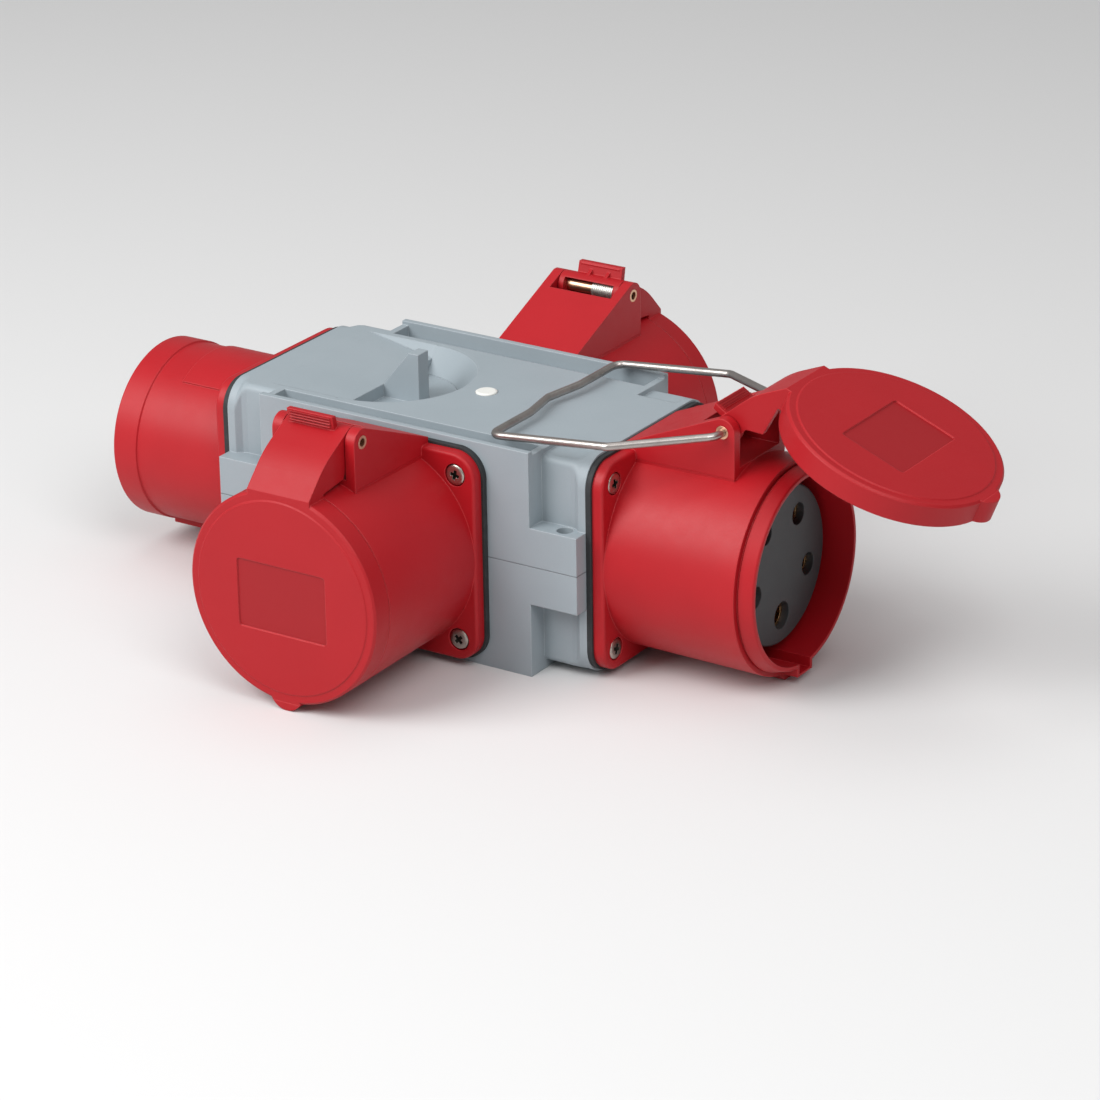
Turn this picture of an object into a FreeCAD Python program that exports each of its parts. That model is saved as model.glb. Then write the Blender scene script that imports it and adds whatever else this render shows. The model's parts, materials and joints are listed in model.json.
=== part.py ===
import FreeCAD, Part
import math
import os

import Sketcher
from FreeCAD import Placement, Rotation, Vector

# Power distributor for five-pole 32 A industrial plugs: a grey box in two half shells, a red inlet on
# its left end, three red sockets with spring lids (front, rear and right end) and a wire bail.
# Millimetres, +Z up, X from the inlet to the right socket, -Y to the front.
# The origin is the middle of the box's underside.

DIMENSIONS = {
    # box, seen as a whole
    "box_length": 161.0,
    "box_width": 97.0,
    "axis_height": 44.2,
    "rail_height": 44.4,
    "block_length": 120.6,
    "lug_height": 15.1,
    "housing_wall": 3.0,
    "cavity_height": 30.0,
    # necks and the collars that carry the end gaskets
    "neck_width": 79.6,
    "neck_height": 40.9,
    "neck_corner": 2.6,
    "collar_width": 84.0,
    "collar_height": 42.8,
    "collar_length": 3.2,
    "collar_cove": 4.4,
    "cove_middle_share": 0.22,
    "collar_corner": 11.0,
    # top plate with its rails, grooves, ramp, round recess and snap nose
    "plate_height": 42.8,
    "plate_strip_width": 53.0,
    "rail_thickness": 2.4,
    "groove_width": 10.1,
    "groove_depth": 6.0,
    "groove_end_wall": 2.8,
    "ramp_start": 67.0,
    "ramp_end": 35.0,
    "ramp_drop": 4.2,
    "ramp_width": 66.0,
    "recess_radius": 34.6,
    "recess_floor_radius": 26.5,
    "recess_depth": 9.3,
    "nose_thickness": 6.6,
    "nose_rise": 10.4,
    "nose_reach": 16.4,
    "nose_top_length": 4.4,
    "plug_offset": 10.0,
    "plug_radius": 4.2,
    "plug_depth": 5.0,
    "plug_dome": 0.7,
    # screws that join the half shells, in the corner lugs
    "lug_screw_inset_x": 7.9,
    "lug_screw_inset_y": 5.0,
    "lug_screw_radius": 1.75,
    "lug_screw_length": 18.0,
    "lug_head_radius": 2.9,
    "lug_head_height": 2.4,
    "lug_seat_height": 6.5,
    # terminal block inside the box
    "terminal_length": 52.0,
    "terminal_width": 43.0,
    "terminal_top": 22.0,
    "terminal_bottom": 26.0,
    "pedestal_share_inset": 4.0,
    # flanges, gaskets and flange screws of the inlet and the sockets
    "gasket_thickness": 2.2,
    "gasket_side": 84.0,
    "gasket_corner": 11.0,
    "flange_side": 82.0,
    "flange_corner": 10.0,
    "flange_thickness": 4.6,
    "flange_edge_radius": 1.2,
    "flange_screw_spacing": 65.4,
    "flange_screw_radius": 1.8,
    "flange_screw_length": 13.0,
    "flange_head_radius": 4.0,
    "flange_head_height": 2.2,
    "flange_head_edge": 1.2,
    "flange_recess_depth": 2.0,
    # part of each device that reaches into the box
    "spigot_radius": 29.5,
    "spigot_wall": 2.7,
    "spigot_depth": 12.0,
    # socket body
    "body_radius": 41.0,
    "body_root_radius": 40.5,
    "body_length": 61.6,
    "mouth_radius": 36.2,
    "mouth_floor": 16.0,
    "ring_length": 6.4,
    "ring_radius": 39.2,
    "ring_front_radius": 37.9,
    "ring_edge": 0.5,
    "ring_groove_width": 0.9,
    "ring_groove_depth": 0.7,
    "keyway_width": 8.0,
    "keyway_radius": 40.0,
    "keyway_rib_width": 13.0,
    "keyway_rib_radius": 43.8,
    "keyway_rib_round": 3.0,
    "keyway_lug_width": 10.6,
    "keyway_lug_radius": 40.7,
    "keyway_root": 0.6,
    # hinge tower on the socket body
    "hinge_setback": 24.7,
    "hinge_height": 54.8,
    "hinge_width": 36.2,
    "ear_thickness": 4.1,
    "ear_radius": 5.2,
    "roof_start_height": 43.3,
    "roof_thickness": 2.6,
    "window_depth": 10.5,
    "tower_back_wall": 5.0,
    # hinge pin and closing spring
    "pin_radius": 2.5,
    "spring_wire": 0.9,
    "spring_length": 10.8,
    "spring_turns": 6.0,
    "spring_leg_length": 9.0,
    # lid
    "lid_front_gap": 2.9,
    "lid_radius": 41.0,
    "lid_plate": 1.8,
    "lid_edge": 0.8,
    "lid_skirt_wall": 1.4,
    "lid_step_radius": 37.6,
    "lid_step_height": 0.4,
    "label_width": 39.0,
    "label_height": 26.6,
    "label_depth": 0.5,
    "label_drop": 1.0,
    "label_corner": 1.5,
    "lid_nose_radius": 6.6,
    "lid_nose_reach": 43.8,
    "lid_nose_wall": 1.4,
    "hood_width": 27.2,
    "hood_cheek": 2.3,
    "hood_wall": 2.0,
    "hood_bend_reach": 17.3,
    "hood_bend_drop": 3.8,
    "hood_bend_radius": 36.0,
    "hood_tooth_reach": 6.0,
    "hood_tooth_fall": 1.6,
    "tab_left": 11.5,
    "tab_right": 8.5,
    "tab_height": 9.2,
    "tab_thickness": 2.2,
    "tab_ridge": 0.5,
    "tab_gusset": 1.4,
    "lid_seal_thickness": 0.8,
    "lid_seal_inner_radius": 36.2,
    "lid_open_angle": 68.0,
    # contacts
    "contact_circle_radius": 20.0,
    "phase_pin_radius": 3.0,
    "earth_pin_radius": 4.0,
    "sleeve_wall": 1.2,
    "sleeve_setback": 3.0,
    "sleeve_bore_depth": 44.0,
    "sleeve_tail": 4.0,
    "carrier_radius": 30.6,
    "carrier_setback": 10.0,
    "carrier_tail": 2.0,
    "lead_radius": 1.9,
    # inlet
    "inlet_radius": 35.1,
    "inlet_band_radius": 35.8,
    "inlet_band_width": 11.5,
    "inlet_length": 62.0,
    "inlet_wall": 3.0,
    "inlet_floor": 12.0,
    "inlet_carrier_thickness": 4.0,
    "inlet_pin_setback": 10.0,
    "inlet_pin_shoulder": 0.5,
    "inlet_pin_chamfer": 0.8,
    "inlet_key_width": 7.6,
    "inlet_key_radius": 39.6,
    "inlet_key_setback": 3.5,
    "inlet_pad_length": 24.0,
    "inlet_pad_angle": 70.0,
    "inlet_pad_start": 14.0,
    "inlet_pad_rise": 0.8,
    # wire bail
    "bail_wire_radius": 1.5,
    "bail_width": 87.0,
    "bail_reach": 83.4,
    "bail_shoulder": 33.0,
    "bail_kink": 3.4,
    "bail_kink_width": 34.0,
    "bail_rest_height": 46.2,
    "bail_insert": 8.0,
    "bail_bend_radius": 4.5,
    # clearances
    "fit_clearance": 0.05,
    "running_clearance": 0.08,
    "free_clearance": 0.3,
    "lid_clearance": 0.4,
}


class Size:
    """A length or angle that carries both its value and its formula in the sheet's names."""

    def __init__(self, value, formula):
        self.value = float(value)
        self.formula = formula

    def __add__(self, other):
        other = as_size(other)
        return Size(self.value + other.value, f"({self.formula} + {other.formula})")

    def __radd__(self, other):
        return as_size(other) + self

    def __sub__(self, other):
        other = as_size(other)
        return Size(self.value - other.value, f"({self.formula} - {other.formula})")

    def __rsub__(self, other):
        return as_size(other) - self

    def __mul__(self, other):
        other = as_size(other)
        return Size(self.value * other.value, f"({self.formula} * {other.formula})")

    def __rmul__(self, other):
        return as_size(other) * self

    def __truediv__(self, other):
        other = as_size(other)
        return Size(self.value / other.value, f"({self.formula} / {other.formula})")

    def __neg__(self):
        return Size(-self.value, f"(-{self.formula})")


def as_size(number):
    """A plain number as a Size, or the Size itself."""
    if isinstance(number, Size):
        return number
    return Size(number, repr(float(number)))


def sine(angle):
    return Size(math.sin(math.radians(angle.value)), f"sin({angle.formula})")


def cosine(angle):
    return Size(math.cos(math.radians(angle.value)), f"cos({angle.formula})")


def arc_sine(ratio):
    return Size(math.degrees(math.asin(ratio.value)), f"asin({ratio.formula})")


def arc_tangent(ratio):
    return Size(math.degrees(math.atan(ratio.value)), f"atan({ratio.formula})")


def square_root(number):
    return Size(math.sqrt(number.value), f"sqrt({number.formula})")


document = FreeCAD.newDocument("cee_power_distributor")
sheet = document.addObject("Spreadsheet::Sheet", "Sizes")


class SizeTable:
    """The driving dimensions, one cell of the sheet each, read as attributes."""

    def __init__(self, dimensions):
        for row, (name, number) in enumerate(dimensions.items(), start=1):
            sheet.set(f"A{row}", name)
            sheet.set(f"B{row}", str(number))
            sheet.setAlias(f"B{row}", name)
            setattr(self, name, Size(number, f"Sizes.{name}"))


size = SizeTable(DIMENSIONS)
document.recompute()

X_AXIS = Vector(1, 0, 0)
Y_AXIS = Vector(0, 1, 0)
Z_AXIS = Vector(0, 0, 1)
ORIGIN_POINT = (-1, 1)
ACROSS_AXIS = -1
UP_AXIS = -2


class Outline:
    """A sketch on one of a body's own planes, drawn with sizes of the sheet."""

    def __init__(self, body, plane, offset, shift_across, shift_up):
        self.sketch = body.newObject("Sketcher::SketchObject", f"{body.Name}_outline")
        support = next(item for item in body.Origin.OriginFeatures if item.Role == f"{plane}_Plane")
        self.sketch.AttachmentSupport = (support, [""])
        self.sketch.MapMode = "FlatFace"
        # The XZ plane looks along -Y, so a distance along +Y counts backwards there.
        depth = -as_size(offset) if plane == "XZ" else as_size(offset)
        for letter, distance in (("x", shift_across), ("y", shift_up), ("z", depth)):
            self.sketch.setExpression(f"AttachmentOffset.Base.{letter}", as_size(distance).formula)

    def constrain(self, *details, distance=None):
        """Adds one constraint, bound to a size where one is given."""
        if distance is None:
            self.sketch.addConstraint(Sketcher.Constraint(*details))
            return
        index = self.sketch.addConstraint(Sketcher.Constraint(*details, distance.value))
        self.sketch.setExpression(f"Constraints[{index}]", distance.formula)

    def fix_point(self, geometry, position, across, up):
        """Ties a point of the drawing to its two coordinates."""
        for axis, kind, distance in ((UP_AXIS, "DistanceX", across), (ACROSS_AXIS, "DistanceY", up)):
            distance = as_size(distance)
            if distance.value == 0:
                self.constrain("PointOnObject", geometry, position, axis)
            else:
                self.constrain(kind, *ORIGIN_POINT, geometry, position, distance=distance)

    def polygon(self, *corners):
        points = [Vector(as_size(across).value, as_size(up).value, 0) for across, up in corners]
        lines = []
        for start, end in zip(points, points[1:] + points[:1]):
            lines.append(self.sketch.addGeometry(Part.LineSegment(start, end), False))
        for line, following in zip(lines, lines[1:] + lines[:1]):
            self.constrain("Coincident", line, 2, following, 1)
        for line, (across, up) in zip(lines, corners):
            self.fix_point(line, 1, across, up)

    def rectangle(self, left, right, bottom, top):
        self.polygon((left, bottom), (right, bottom), (right, top), (left, top))

    def centred_rectangle(self, width, height):
        self.rectangle(-width / 2, width / 2, -height / 2, height / 2)

    def circle(self, across, up, radius):
        centre = Vector(as_size(across).value, as_size(up).value, 0)
        index = self.sketch.addGeometry(Part.Circle(centre, Vector(0, 0, 1), radius.value), False)
        self.fix_point(index, 3, across, up)
        self.constrain("Radius", index, distance=radius)

    def rounded_rectangle(self, width, height, radius):
        """A centred rectangle with four equal round corners."""
        arcs = []
        for turn in range(4):
            side = 1 if turn in (0, 3) else -1
            level = 1 if turn in (0, 1) else -1
            across = side * (width / 2 - radius)
            up = level * (height / 2 - radius)
            circle = Part.Circle(Vector(across.value, up.value, 0), Vector(0, 0, 1), radius.value)
            start = math.pi / 2 * turn
            arc = self.sketch.addGeometry(Part.ArcOfCircle(circle, start, start + math.pi / 2), False)
            self.fix_point(arc, 3, across, up)
            self.constrain("Radius", arc, distance=radius)
            arcs.append(arc)
        for arc, following in zip(arcs, arcs[1:] + arcs[:1]):
            start = self.sketch.getPoint(arc, 2)
            end = self.sketch.getPoint(following, 1)
            line = self.sketch.addGeometry(Part.LineSegment(start, end), False)
            self.constrain("Tangent", arc, 2, line, 1)
            self.constrain("Tangent", line, 2, following, 1)


class Piece:
    """One sub-part: a body that is built up from outlines and placed in the shared frame."""

    made = []

    def __init__(self, label, placement, solids=1):
        self.body = document.addObject("PartDesign::Body", label)
        self.body.Label = label
        self.body.AllowCompound = solids > 1
        self.body.Placement = placement
        Piece.made.append((self.body, solids))

    def draw(self, plane, offset, drawing, shift_across=0, shift_up=0):
        outline = Outline(self.body, plane, offset, shift_across, shift_up)
        drawing(outline)
        return outline.sketch

    def extrude(self, kind, plane, start, end, drawing, shift_up=0):
        """Adds or cuts a prism between two levels across the plane."""
        start = as_size(start)
        end = as_size(end)
        feature = self.body.newObject(f"PartDesign::{kind}", f"{self.body.Name}_{kind}")
        feature.Profile = self.draw(plane, (start + end) / 2, drawing, shift_up=shift_up)
        feature.SideType = "Symmetric"
        feature.setExpression("Length", (end - start).formula)
        self.body.Tip = feature

    def pad(self, plane, start, end, drawing):
        self.extrude("Pad", plane, start, end, drawing)

    def pocket(self, plane, start, end, drawing, shift_up=0):
        self.extrude("Pocket", plane, start, end, drawing, shift_up)

    def taper(self, plane, *stations):
        """Adds straight transitions through outlines, each given with its level."""
        feature = self.body.newObject("PartDesign::AdditiveLoft", f"{self.body.Name}_Taper")
        profile, *sections = [self.draw(plane, level, drawing) for level, drawing in stations]
        feature.Profile = profile
        feature.Sections = sections
        feature.Ruled = True
        self.body.Tip = feature

    def turn(self, kind, drawing, axis="H_Axis", angle=360.0, offset=0, shift_across=0, shift_up=0):
        """Adds or cuts a solid of revolution drawn on the XZ plane."""
        feature = self.body.newObject(f"PartDesign::{kind}", f"{self.body.Name}_{kind}")
        sketch = self.draw("XZ", offset, drawing, shift_across, shift_up)
        feature.Profile = sketch
        feature.ReferenceAxis = (sketch, [axis])
        feature.setExpression("Angle", as_size(angle).formula)
        feature.Midplane = True
        self.body.Tip = feature

    def revolve(self, drawing, **options):
        self.turn("Revolution", drawing, **options)

    def groove(self, drawing, **options):
        self.turn("Groove", drawing, **options)

    def fillet(self, radius, chooses):
        """Rounds the edges of the last feature that a test picks."""
        document.recompute()
        base = self.body.Tip
        names = [f"Edge{i}" for i, edge in enumerate(base.Shape.Edges, start=1) if chooses(edge)]
        feature = self.body.newObject("PartDesign::Fillet", f"{self.body.Name}_Fillet")
        feature.Base = (base, names)
        feature.setExpression("Radius", radius.formula)
        self.body.Tip = feature


def box_frame(height):
    """Placement of a piece of the box, with its local zero on the given height."""
    return Placement(Vector(0, 0, height.value), Rotation())


def device_frame(side):
    """Placement of a device on one face of the box: local X points outwards, Z up."""
    half_length = size.box_length.value / 2
    half_width = size.box_width.value / 2
    spot, angle = {
        "left": (Vector(-half_length, 0, 0), 180),
        "right": (Vector(half_length, 0, 0), 0),
        "front": (Vector(0, -half_width, 0), -90),
        "rear": (Vector(0, half_width, 0), 90),
    }[side]
    return Placement(spot + Vector(0, 0, size.axis_height.value), Rotation(Z_AXIS, angle))


def lid_frame(side, opening):
    """Placement of what swings on a socket's hinge, opened by the given angle."""
    hinge = Vector(hinge_reach.value, 0, size.hinge_height.value)
    swing = Placement(Vector(), Rotation(Y_AXIS, -opening), hinge)
    return device_frame(side) * swing


# Values that several pieces share
FAR = size.box_length
flange_front = size.gasket_thickness + size.flange_thickness
opening_radius = size.spigot_radius + size.fit_clearance * 4
carrier_back = size.spigot_depth + size.carrier_tail
tail_radius = size.spigot_radius - size.spigot_wall - size.fit_clearance
contact_back = carrier_back + size.sleeve_tail
inlet_carrier_face = size.inlet_floor + size.inlet_carrier_thickness
screw_half = size.flange_screw_spacing / 2
mouth_length = size.body_length + size.ring_length
hinge_reach = mouth_length - size.hinge_setback
carrier_front = mouth_length - size.carrier_setback
lid_front = mouth_length + size.lid_front_gap
lid_inner_radius = size.lid_radius - size.lid_skirt_wall
lid_back = size.body_length + size.free_clearance
lid_underside = lid_front - size.lid_plate
groove_outer = size.box_width / 2 - size.rail_thickness
groove_inner = groove_outer - size.groove_width
plate_floor = size.plate_height - size.recess_depth
nose_top = size.plate_height + size.nose_rise
nose_end = size.ramp_end - size.nose_reach
lug_screw_x = size.box_length / 2 - size.lug_screw_inset_x
lug_screw_y = size.box_width / 2 - size.lug_screw_inset_y
corners = [(side, level) for side in (-1, 1) for level in (-1, 1)]


def contact_places():
    """Middle of each contact, earth first at six o'clock, with the radius of its pin."""
    step = 72.0
    places = []
    for number in range(5):
        angle = math.radians(-90.0 + step * number)
        across = size.contact_circle_radius * round(math.cos(angle), 6)
        up = size.contact_circle_radius * round(math.sin(angle), 6)
        pin = size.earth_pin_radius if number == 0 else size.phase_pin_radius
        places.append((across, up, pin))
    return places


def build_half_shell(label, level):
    """Outside and cavity that both half shells share; level is 1 for the upper, -1 for the lower."""
    shell = Piece(label, box_frame(size.axis_height))
    top = size.rail_height if level > 0 else size.axis_height

    def layer(height):
        return (0, height) if level > 0 else (-height, 0)

    shell.pad("XY", *layer(size.lug_height), lambda o: o.centred_rectangle(size.box_length, size.box_width))
    shell.pad("XY", *layer(top), lambda o: o.centred_rectangle(size.block_length, size.box_width))
    for end in (-1, 1):
        # The left neck of the upper half is as high as the top plate, the others lie a little lower.
        rise = size.plate_height if level > 0 > end else size.neck_height

        def section(share):
            """Drawing of the outline at a share of the step from the neck to the collar."""
            return lambda o: o.rounded_rectangle(
                part_way(size.neck_width, size.collar_width, share),
                part_way(rise, size.collar_height, share) * 2,
                part_way(size.neck_corner, size.collar_corner, share))

        tip = end * size.box_length / 2
        rim = tip - end * size.collar_length
        root = rim - end * size.collar_cove
        shell.pad("YZ", *between(0, root), section(0))
        # A cove widens the neck to its collar.
        shell.taper("YZ", (root, section(0)), ((root + rim) / 2, section(size.cove_middle_share)),
                    (rim, section(1)))
        shell.pad("YZ", *between(rim, tip), section(1))
    # The other half is cut away at the parting plane.
    other = (-FAR, 0) if level > 0 else (0, FAR)
    shell.pocket("XY", *other, lambda o: o.centred_rectangle(FAR * 2, FAR * 2))
    cavity = layer(size.cavity_height)
    shell.pocket("XY", *cavity, lambda o: o.centred_rectangle(
        size.block_length - size.housing_wall * 2, size.box_width - size.housing_wall * 2))
    shell.pocket("XY", *cavity, lambda o: o.centred_rectangle(
        size.box_length - size.housing_wall * 2, size.neck_width - size.housing_wall * 2))
    for plane, half in (("XZ", size.box_width / 2), ("YZ", size.box_length / 2)):
        for end in (-1, 1):
            outside = end * (half + size.housing_wall)
            shell.pocket(plane, *between(end * (half - size.housing_wall * 2), outside),
                         lambda o: o.circle(0, 0, opening_radius))
            pilot = size.flange_screw_radius + size.fit_clearance
            shell.pocket(plane, *between(end * (half - size.flange_screw_length), outside), lambda o: [
                o.circle(side * screw_half, level * screw_half, pilot) for side in (-1, 1)])
    return shell


def part_way(start, end, share):
    """A size at a share of the way from one size to another."""
    return start + (end - start) * share


def between(one, other):
    """Two levels in rising order."""
    return sorted((as_size(one), as_size(other)), key=lambda level: level.value)


def lug_circles(end, radius):
    """Drawing of two equal circles over the corner lugs at one end of the box."""
    return lambda o: [o.circle(end * lug_screw_x, level * lug_screw_y, radius) for level in (-1, 1)]


def cut_lug_holes(shell, level):
    """Cuts the seats and holes of the screws that join the shells, for one shell.

    The right pair goes in from above and the left pair from below.
    """
    hole = size.lug_screw_radius + size.fit_clearance
    seat = size.lug_head_radius + size.fit_clearance * 4
    shell.pocket("XY", *between(level * size.lug_seat_height, level * size.lug_height), lug_circles(level, seat))
    shell.pocket("XY", *between(0, level * size.lug_height), lug_circles(level, hole))
    pilot_depth = size.lug_screw_length - size.lug_seat_height
    shell.pocket("XY", *between(0, level * pilot_depth), lug_circles(-level, hole))


def build_upper_housing():
    shell = build_half_shell("upper_housing", 1)
    # The middle of the top plate runs on over the right neck.
    strip_half = size.plate_strip_width / 2
    shell.pad("XY", size.cavity_height, size.plate_height,
              lambda o: o.rectangle(0, size.box_length / 2, -strip_half, strip_half))
    # Between the rails the plate lies lower, with a groove along each rail.
    shell.pocket("XY", size.plate_height, FAR, lambda o: o.centred_rectangle(FAR * 2, groove_outer * 2))
    groove_half = size.block_length / 2 - size.groove_end_wall
    shell.pocket("XY", size.plate_height - size.groove_depth, FAR, lambda o: [
        o.rectangle(-groove_half, groove_half, -groove_outer, -groove_inner),
        o.rectangle(-groove_half, groove_half, groove_inner, groove_outer)])
    # A shallow ramp leads down to the round recess, whose flat side is the ramp's end.
    ramp_half = size.ramp_width / 2
    shell.pocket("XZ", -ramp_half, ramp_half, lambda o: o.polygon(
        (-size.ramp_start, size.plate_height),
        (-size.ramp_end, size.plate_height - size.ramp_drop),
        (-size.ramp_end, nose_top),
        (-size.ramp_start, nose_top)))
    shell.groove(lambda o: o.polygon(
        (0, plate_floor),
        (size.recess_floor_radius, plate_floor),
        (size.recess_radius, size.plate_height),
        (size.recess_radius, nose_top),
        (0, nose_top)), axis="V_Axis", angle=180.0, shift_across=-size.ramp_end)
    # The snap nose stands in the recess with its steep face to the right.
    nose_half = size.nose_thickness / 2
    shell.pad("XZ", -nose_half, nose_half, lambda o: o.polygon(
        (-size.ramp_end - size.housing_wall, plate_floor - size.housing_wall / 2),
        (-nose_end, plate_floor - size.housing_wall / 2),
        (-nose_end, nose_top),
        (-nose_end - size.nose_top_length, nose_top),
        (-size.ramp_end, size.plate_height - size.ramp_drop),
        (-size.ramp_end - size.housing_wall, size.plate_height - size.ramp_drop)))
    shell.pocket("XY", size.plate_height - size.plug_depth, size.plate_height,
                 lambda o: o.circle(size.plug_offset, 0, size.plug_radius))
    cut_lug_holes(shell, 1)


def build_lower_housing():
    shell = build_half_shell("lower_housing", -1)
    cut_lug_holes(shell, -1)
    # The terminal block stands on a pedestal.
    inset = size.pedestal_share_inset * 2
    shell.pad("XY", -size.axis_height + size.housing_wall, -size.terminal_bottom,
              lambda o: o.centred_rectangle(size.terminal_length - inset, size.terminal_width - inset))


def build_breather_plug():
    plug = Piece("breather_plug", box_frame(size.axis_height + size.plate_height))
    radius = size.plug_radius - size.fit_clearance
    plug.revolve(lambda o: o.polygon(
        (0, -size.plug_depth), (radius, -size.plug_depth), (radius, size.plug_dome / 2),
        (radius - size.plug_dome, size.plug_dome), (0, size.plug_dome)),
        axis="V_Axis", shift_across=size.plug_offset)


def build_housing_screws():
    screws = Piece("housing_screws", box_frame(size.axis_height), solids=4)
    for end, level in corners:
        tip = end * (size.lug_seat_height - size.lug_screw_length)
        seat = end * size.lug_seat_height
        top = end * (size.lug_seat_height + size.lug_head_height)
        screws.revolve(lambda o: o.polygon(
            (0, tip),
            (size.lug_screw_radius, tip),
            (size.lug_screw_radius, seat),
            (size.lug_head_radius, seat),
            (size.lug_head_radius, top),
            (0, top)),
            axis="V_Axis", offset=level * lug_screw_y, shift_across=end * lug_screw_x)


def build_terminal_block():
    block = Piece("terminal_block", box_frame(size.axis_height))
    block.pad("XY", -size.terminal_bottom, size.terminal_top,
              lambda o: o.centred_rectangle(size.terminal_length, size.terminal_width))
    # Barrier slots between the poles, open at the top
    slot = size.housing_wall
    for side in (-1, 1):
        middle = side * size.terminal_length / 4
        block.pocket("XY", size.terminal_top - slot * 2, size.terminal_top,
                     lambda o: o.rectangle(middle - slot / 2, middle + slot / 2, -FAR, FAR))


def build_leads(name, side, half_block):
    """Five insulated leads from a device's contacts straight to the terminal block."""
    leads = Piece(f"{name}_leads", device_frame(side), solids=5)
    half_box = size.box_length / 2 if side in ("left", "right") else size.box_width / 2
    leads.pad("YZ", -(half_box - half_block), -contact_back, lambda o: [
        o.circle(across, up, size.lead_radius) for across, up, _ in contact_places()])


def build_gasket(name, side):
    gasket = Piece(f"{name}_gasket", device_frame(side))

    def drawing(outline):
        outline.rounded_rectangle(size.gasket_side, size.gasket_side, size.gasket_corner)
        outline.circle(0, 0, opening_radius)
        for across, up in corners:
            outline.circle(across * screw_half, up * screw_half, size.flange_screw_radius + size.fit_clearance)

    gasket.pad("YZ", 0, size.gasket_thickness, drawing)


def build_flange_screws(name, side):
    screws = Piece(f"{name}_screws", device_frame(side), solids=4)
    seat = flange_front - size.flange_recess_depth
    head_top = seat + size.flange_head_height
    for across, up in corners:
        screws.revolve(lambda o: o.polygon(
            (seat - size.flange_screw_length, 0),
            (seat - size.flange_screw_length, size.flange_screw_radius),
            (seat, size.flange_screw_radius),
            (seat, size.flange_head_radius),
            (seat + size.flange_head_edge, size.flange_head_radius),
            (head_top, size.flange_head_radius - size.flange_head_edge),
            (head_top, 0)),
            offset=across * screw_half, shift_up=up * screw_half)


def lies_on_flange_front(edge, bore):
    """Whether an edge belongs to the outer border of a flange's front."""
    on_front = all(abs(vertex.X - flange_front.value) < 1e-6 for vertex in edge.Vertexes)
    across = edge.valueAt(edge.FirstParameter)
    return on_front and math.hypot(across.y, across.z) > bore.value + size.flange_edge_radius.value


def add_flange(piece, bore):
    """Square flange with four screw seats; the bore is what stays open in its middle."""
    def drawing(outline):
        outline.rounded_rectangle(size.flange_side, size.flange_side, size.flange_corner)
        outline.circle(0, 0, bore)

    piece.pad("YZ", size.gasket_thickness, flange_front, drawing)
    piece.fillet(size.flange_edge_radius, lambda edge: lies_on_flange_front(edge, bore))
    hole = size.flange_screw_radius + size.fit_clearance * 4
    recess = size.flange_head_radius + size.lid_clearance
    piece.pocket("YZ", 0, flange_front, lambda o: [
        o.circle(across * screw_half, up * screw_half, hole) for across, up in corners])
    piece.pocket("YZ", flange_front - size.flange_recess_depth, flange_front, lambda o: [
        o.circle(across * screw_half, up * screw_half, recess) for across, up in corners])


def build_socket_body(name, side):
    body = Piece(f"{name}_socket_body", device_frame(side))
    add_flange(body, size.mouth_radius)
    spigot_bore = size.spigot_radius - size.spigot_wall
    ring_start = size.body_length + size.ring_groove_width
    body.revolve(lambda o: o.polygon(
        (-size.spigot_depth, spigot_bore),
        (-size.spigot_depth, size.spigot_radius),
        (size.gasket_thickness, size.spigot_radius),
        (size.gasket_thickness, size.body_root_radius),
        (size.body_length, size.body_radius),
        (size.body_length, size.ring_radius - size.ring_groove_depth),
        (ring_start, size.ring_radius - size.ring_groove_depth),
        (ring_start, size.ring_radius),
        (mouth_length - size.ring_edge, size.ring_front_radius),
        (mouth_length, size.ring_front_radius - size.ring_edge),
        (mouth_length, size.mouth_radius),
        (size.mouth_floor, size.mouth_radius),
        (size.mouth_floor, spigot_bore)))
    # Rib round the keyway along the bottom, ending in a lug on the mouth ring
    rib_half = size.keyway_rib_width / 2
    root = size.mouth_radius + size.keyway_root
    body.pad("YZ", size.gasket_thickness, size.body_length, lambda o: o.polygon(
        (-rib_half, -root),
        (-rib_half, -size.keyway_rib_radius + size.keyway_rib_round),
        (-rib_half + size.keyway_rib_round, -size.keyway_rib_radius),
        (rib_half - size.keyway_rib_round, -size.keyway_rib_radius),
        (rib_half, -size.keyway_rib_radius + size.keyway_rib_round),
        (rib_half, -root)))
    lug_half = size.keyway_lug_width / 2
    body.pad("YZ", size.body_length, mouth_length, lambda o: o.rectangle(
        -lug_half, lug_half, -size.keyway_lug_radius, -root))
    add_tower(body)
    # The keyway is cut into the mouth.
    key_half = size.keyway_width / 2
    body.pocket("YZ", size.mouth_floor, FAR, lambda o: o.rectangle(
        -key_half, key_half, -size.keyway_radius, 0))


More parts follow.
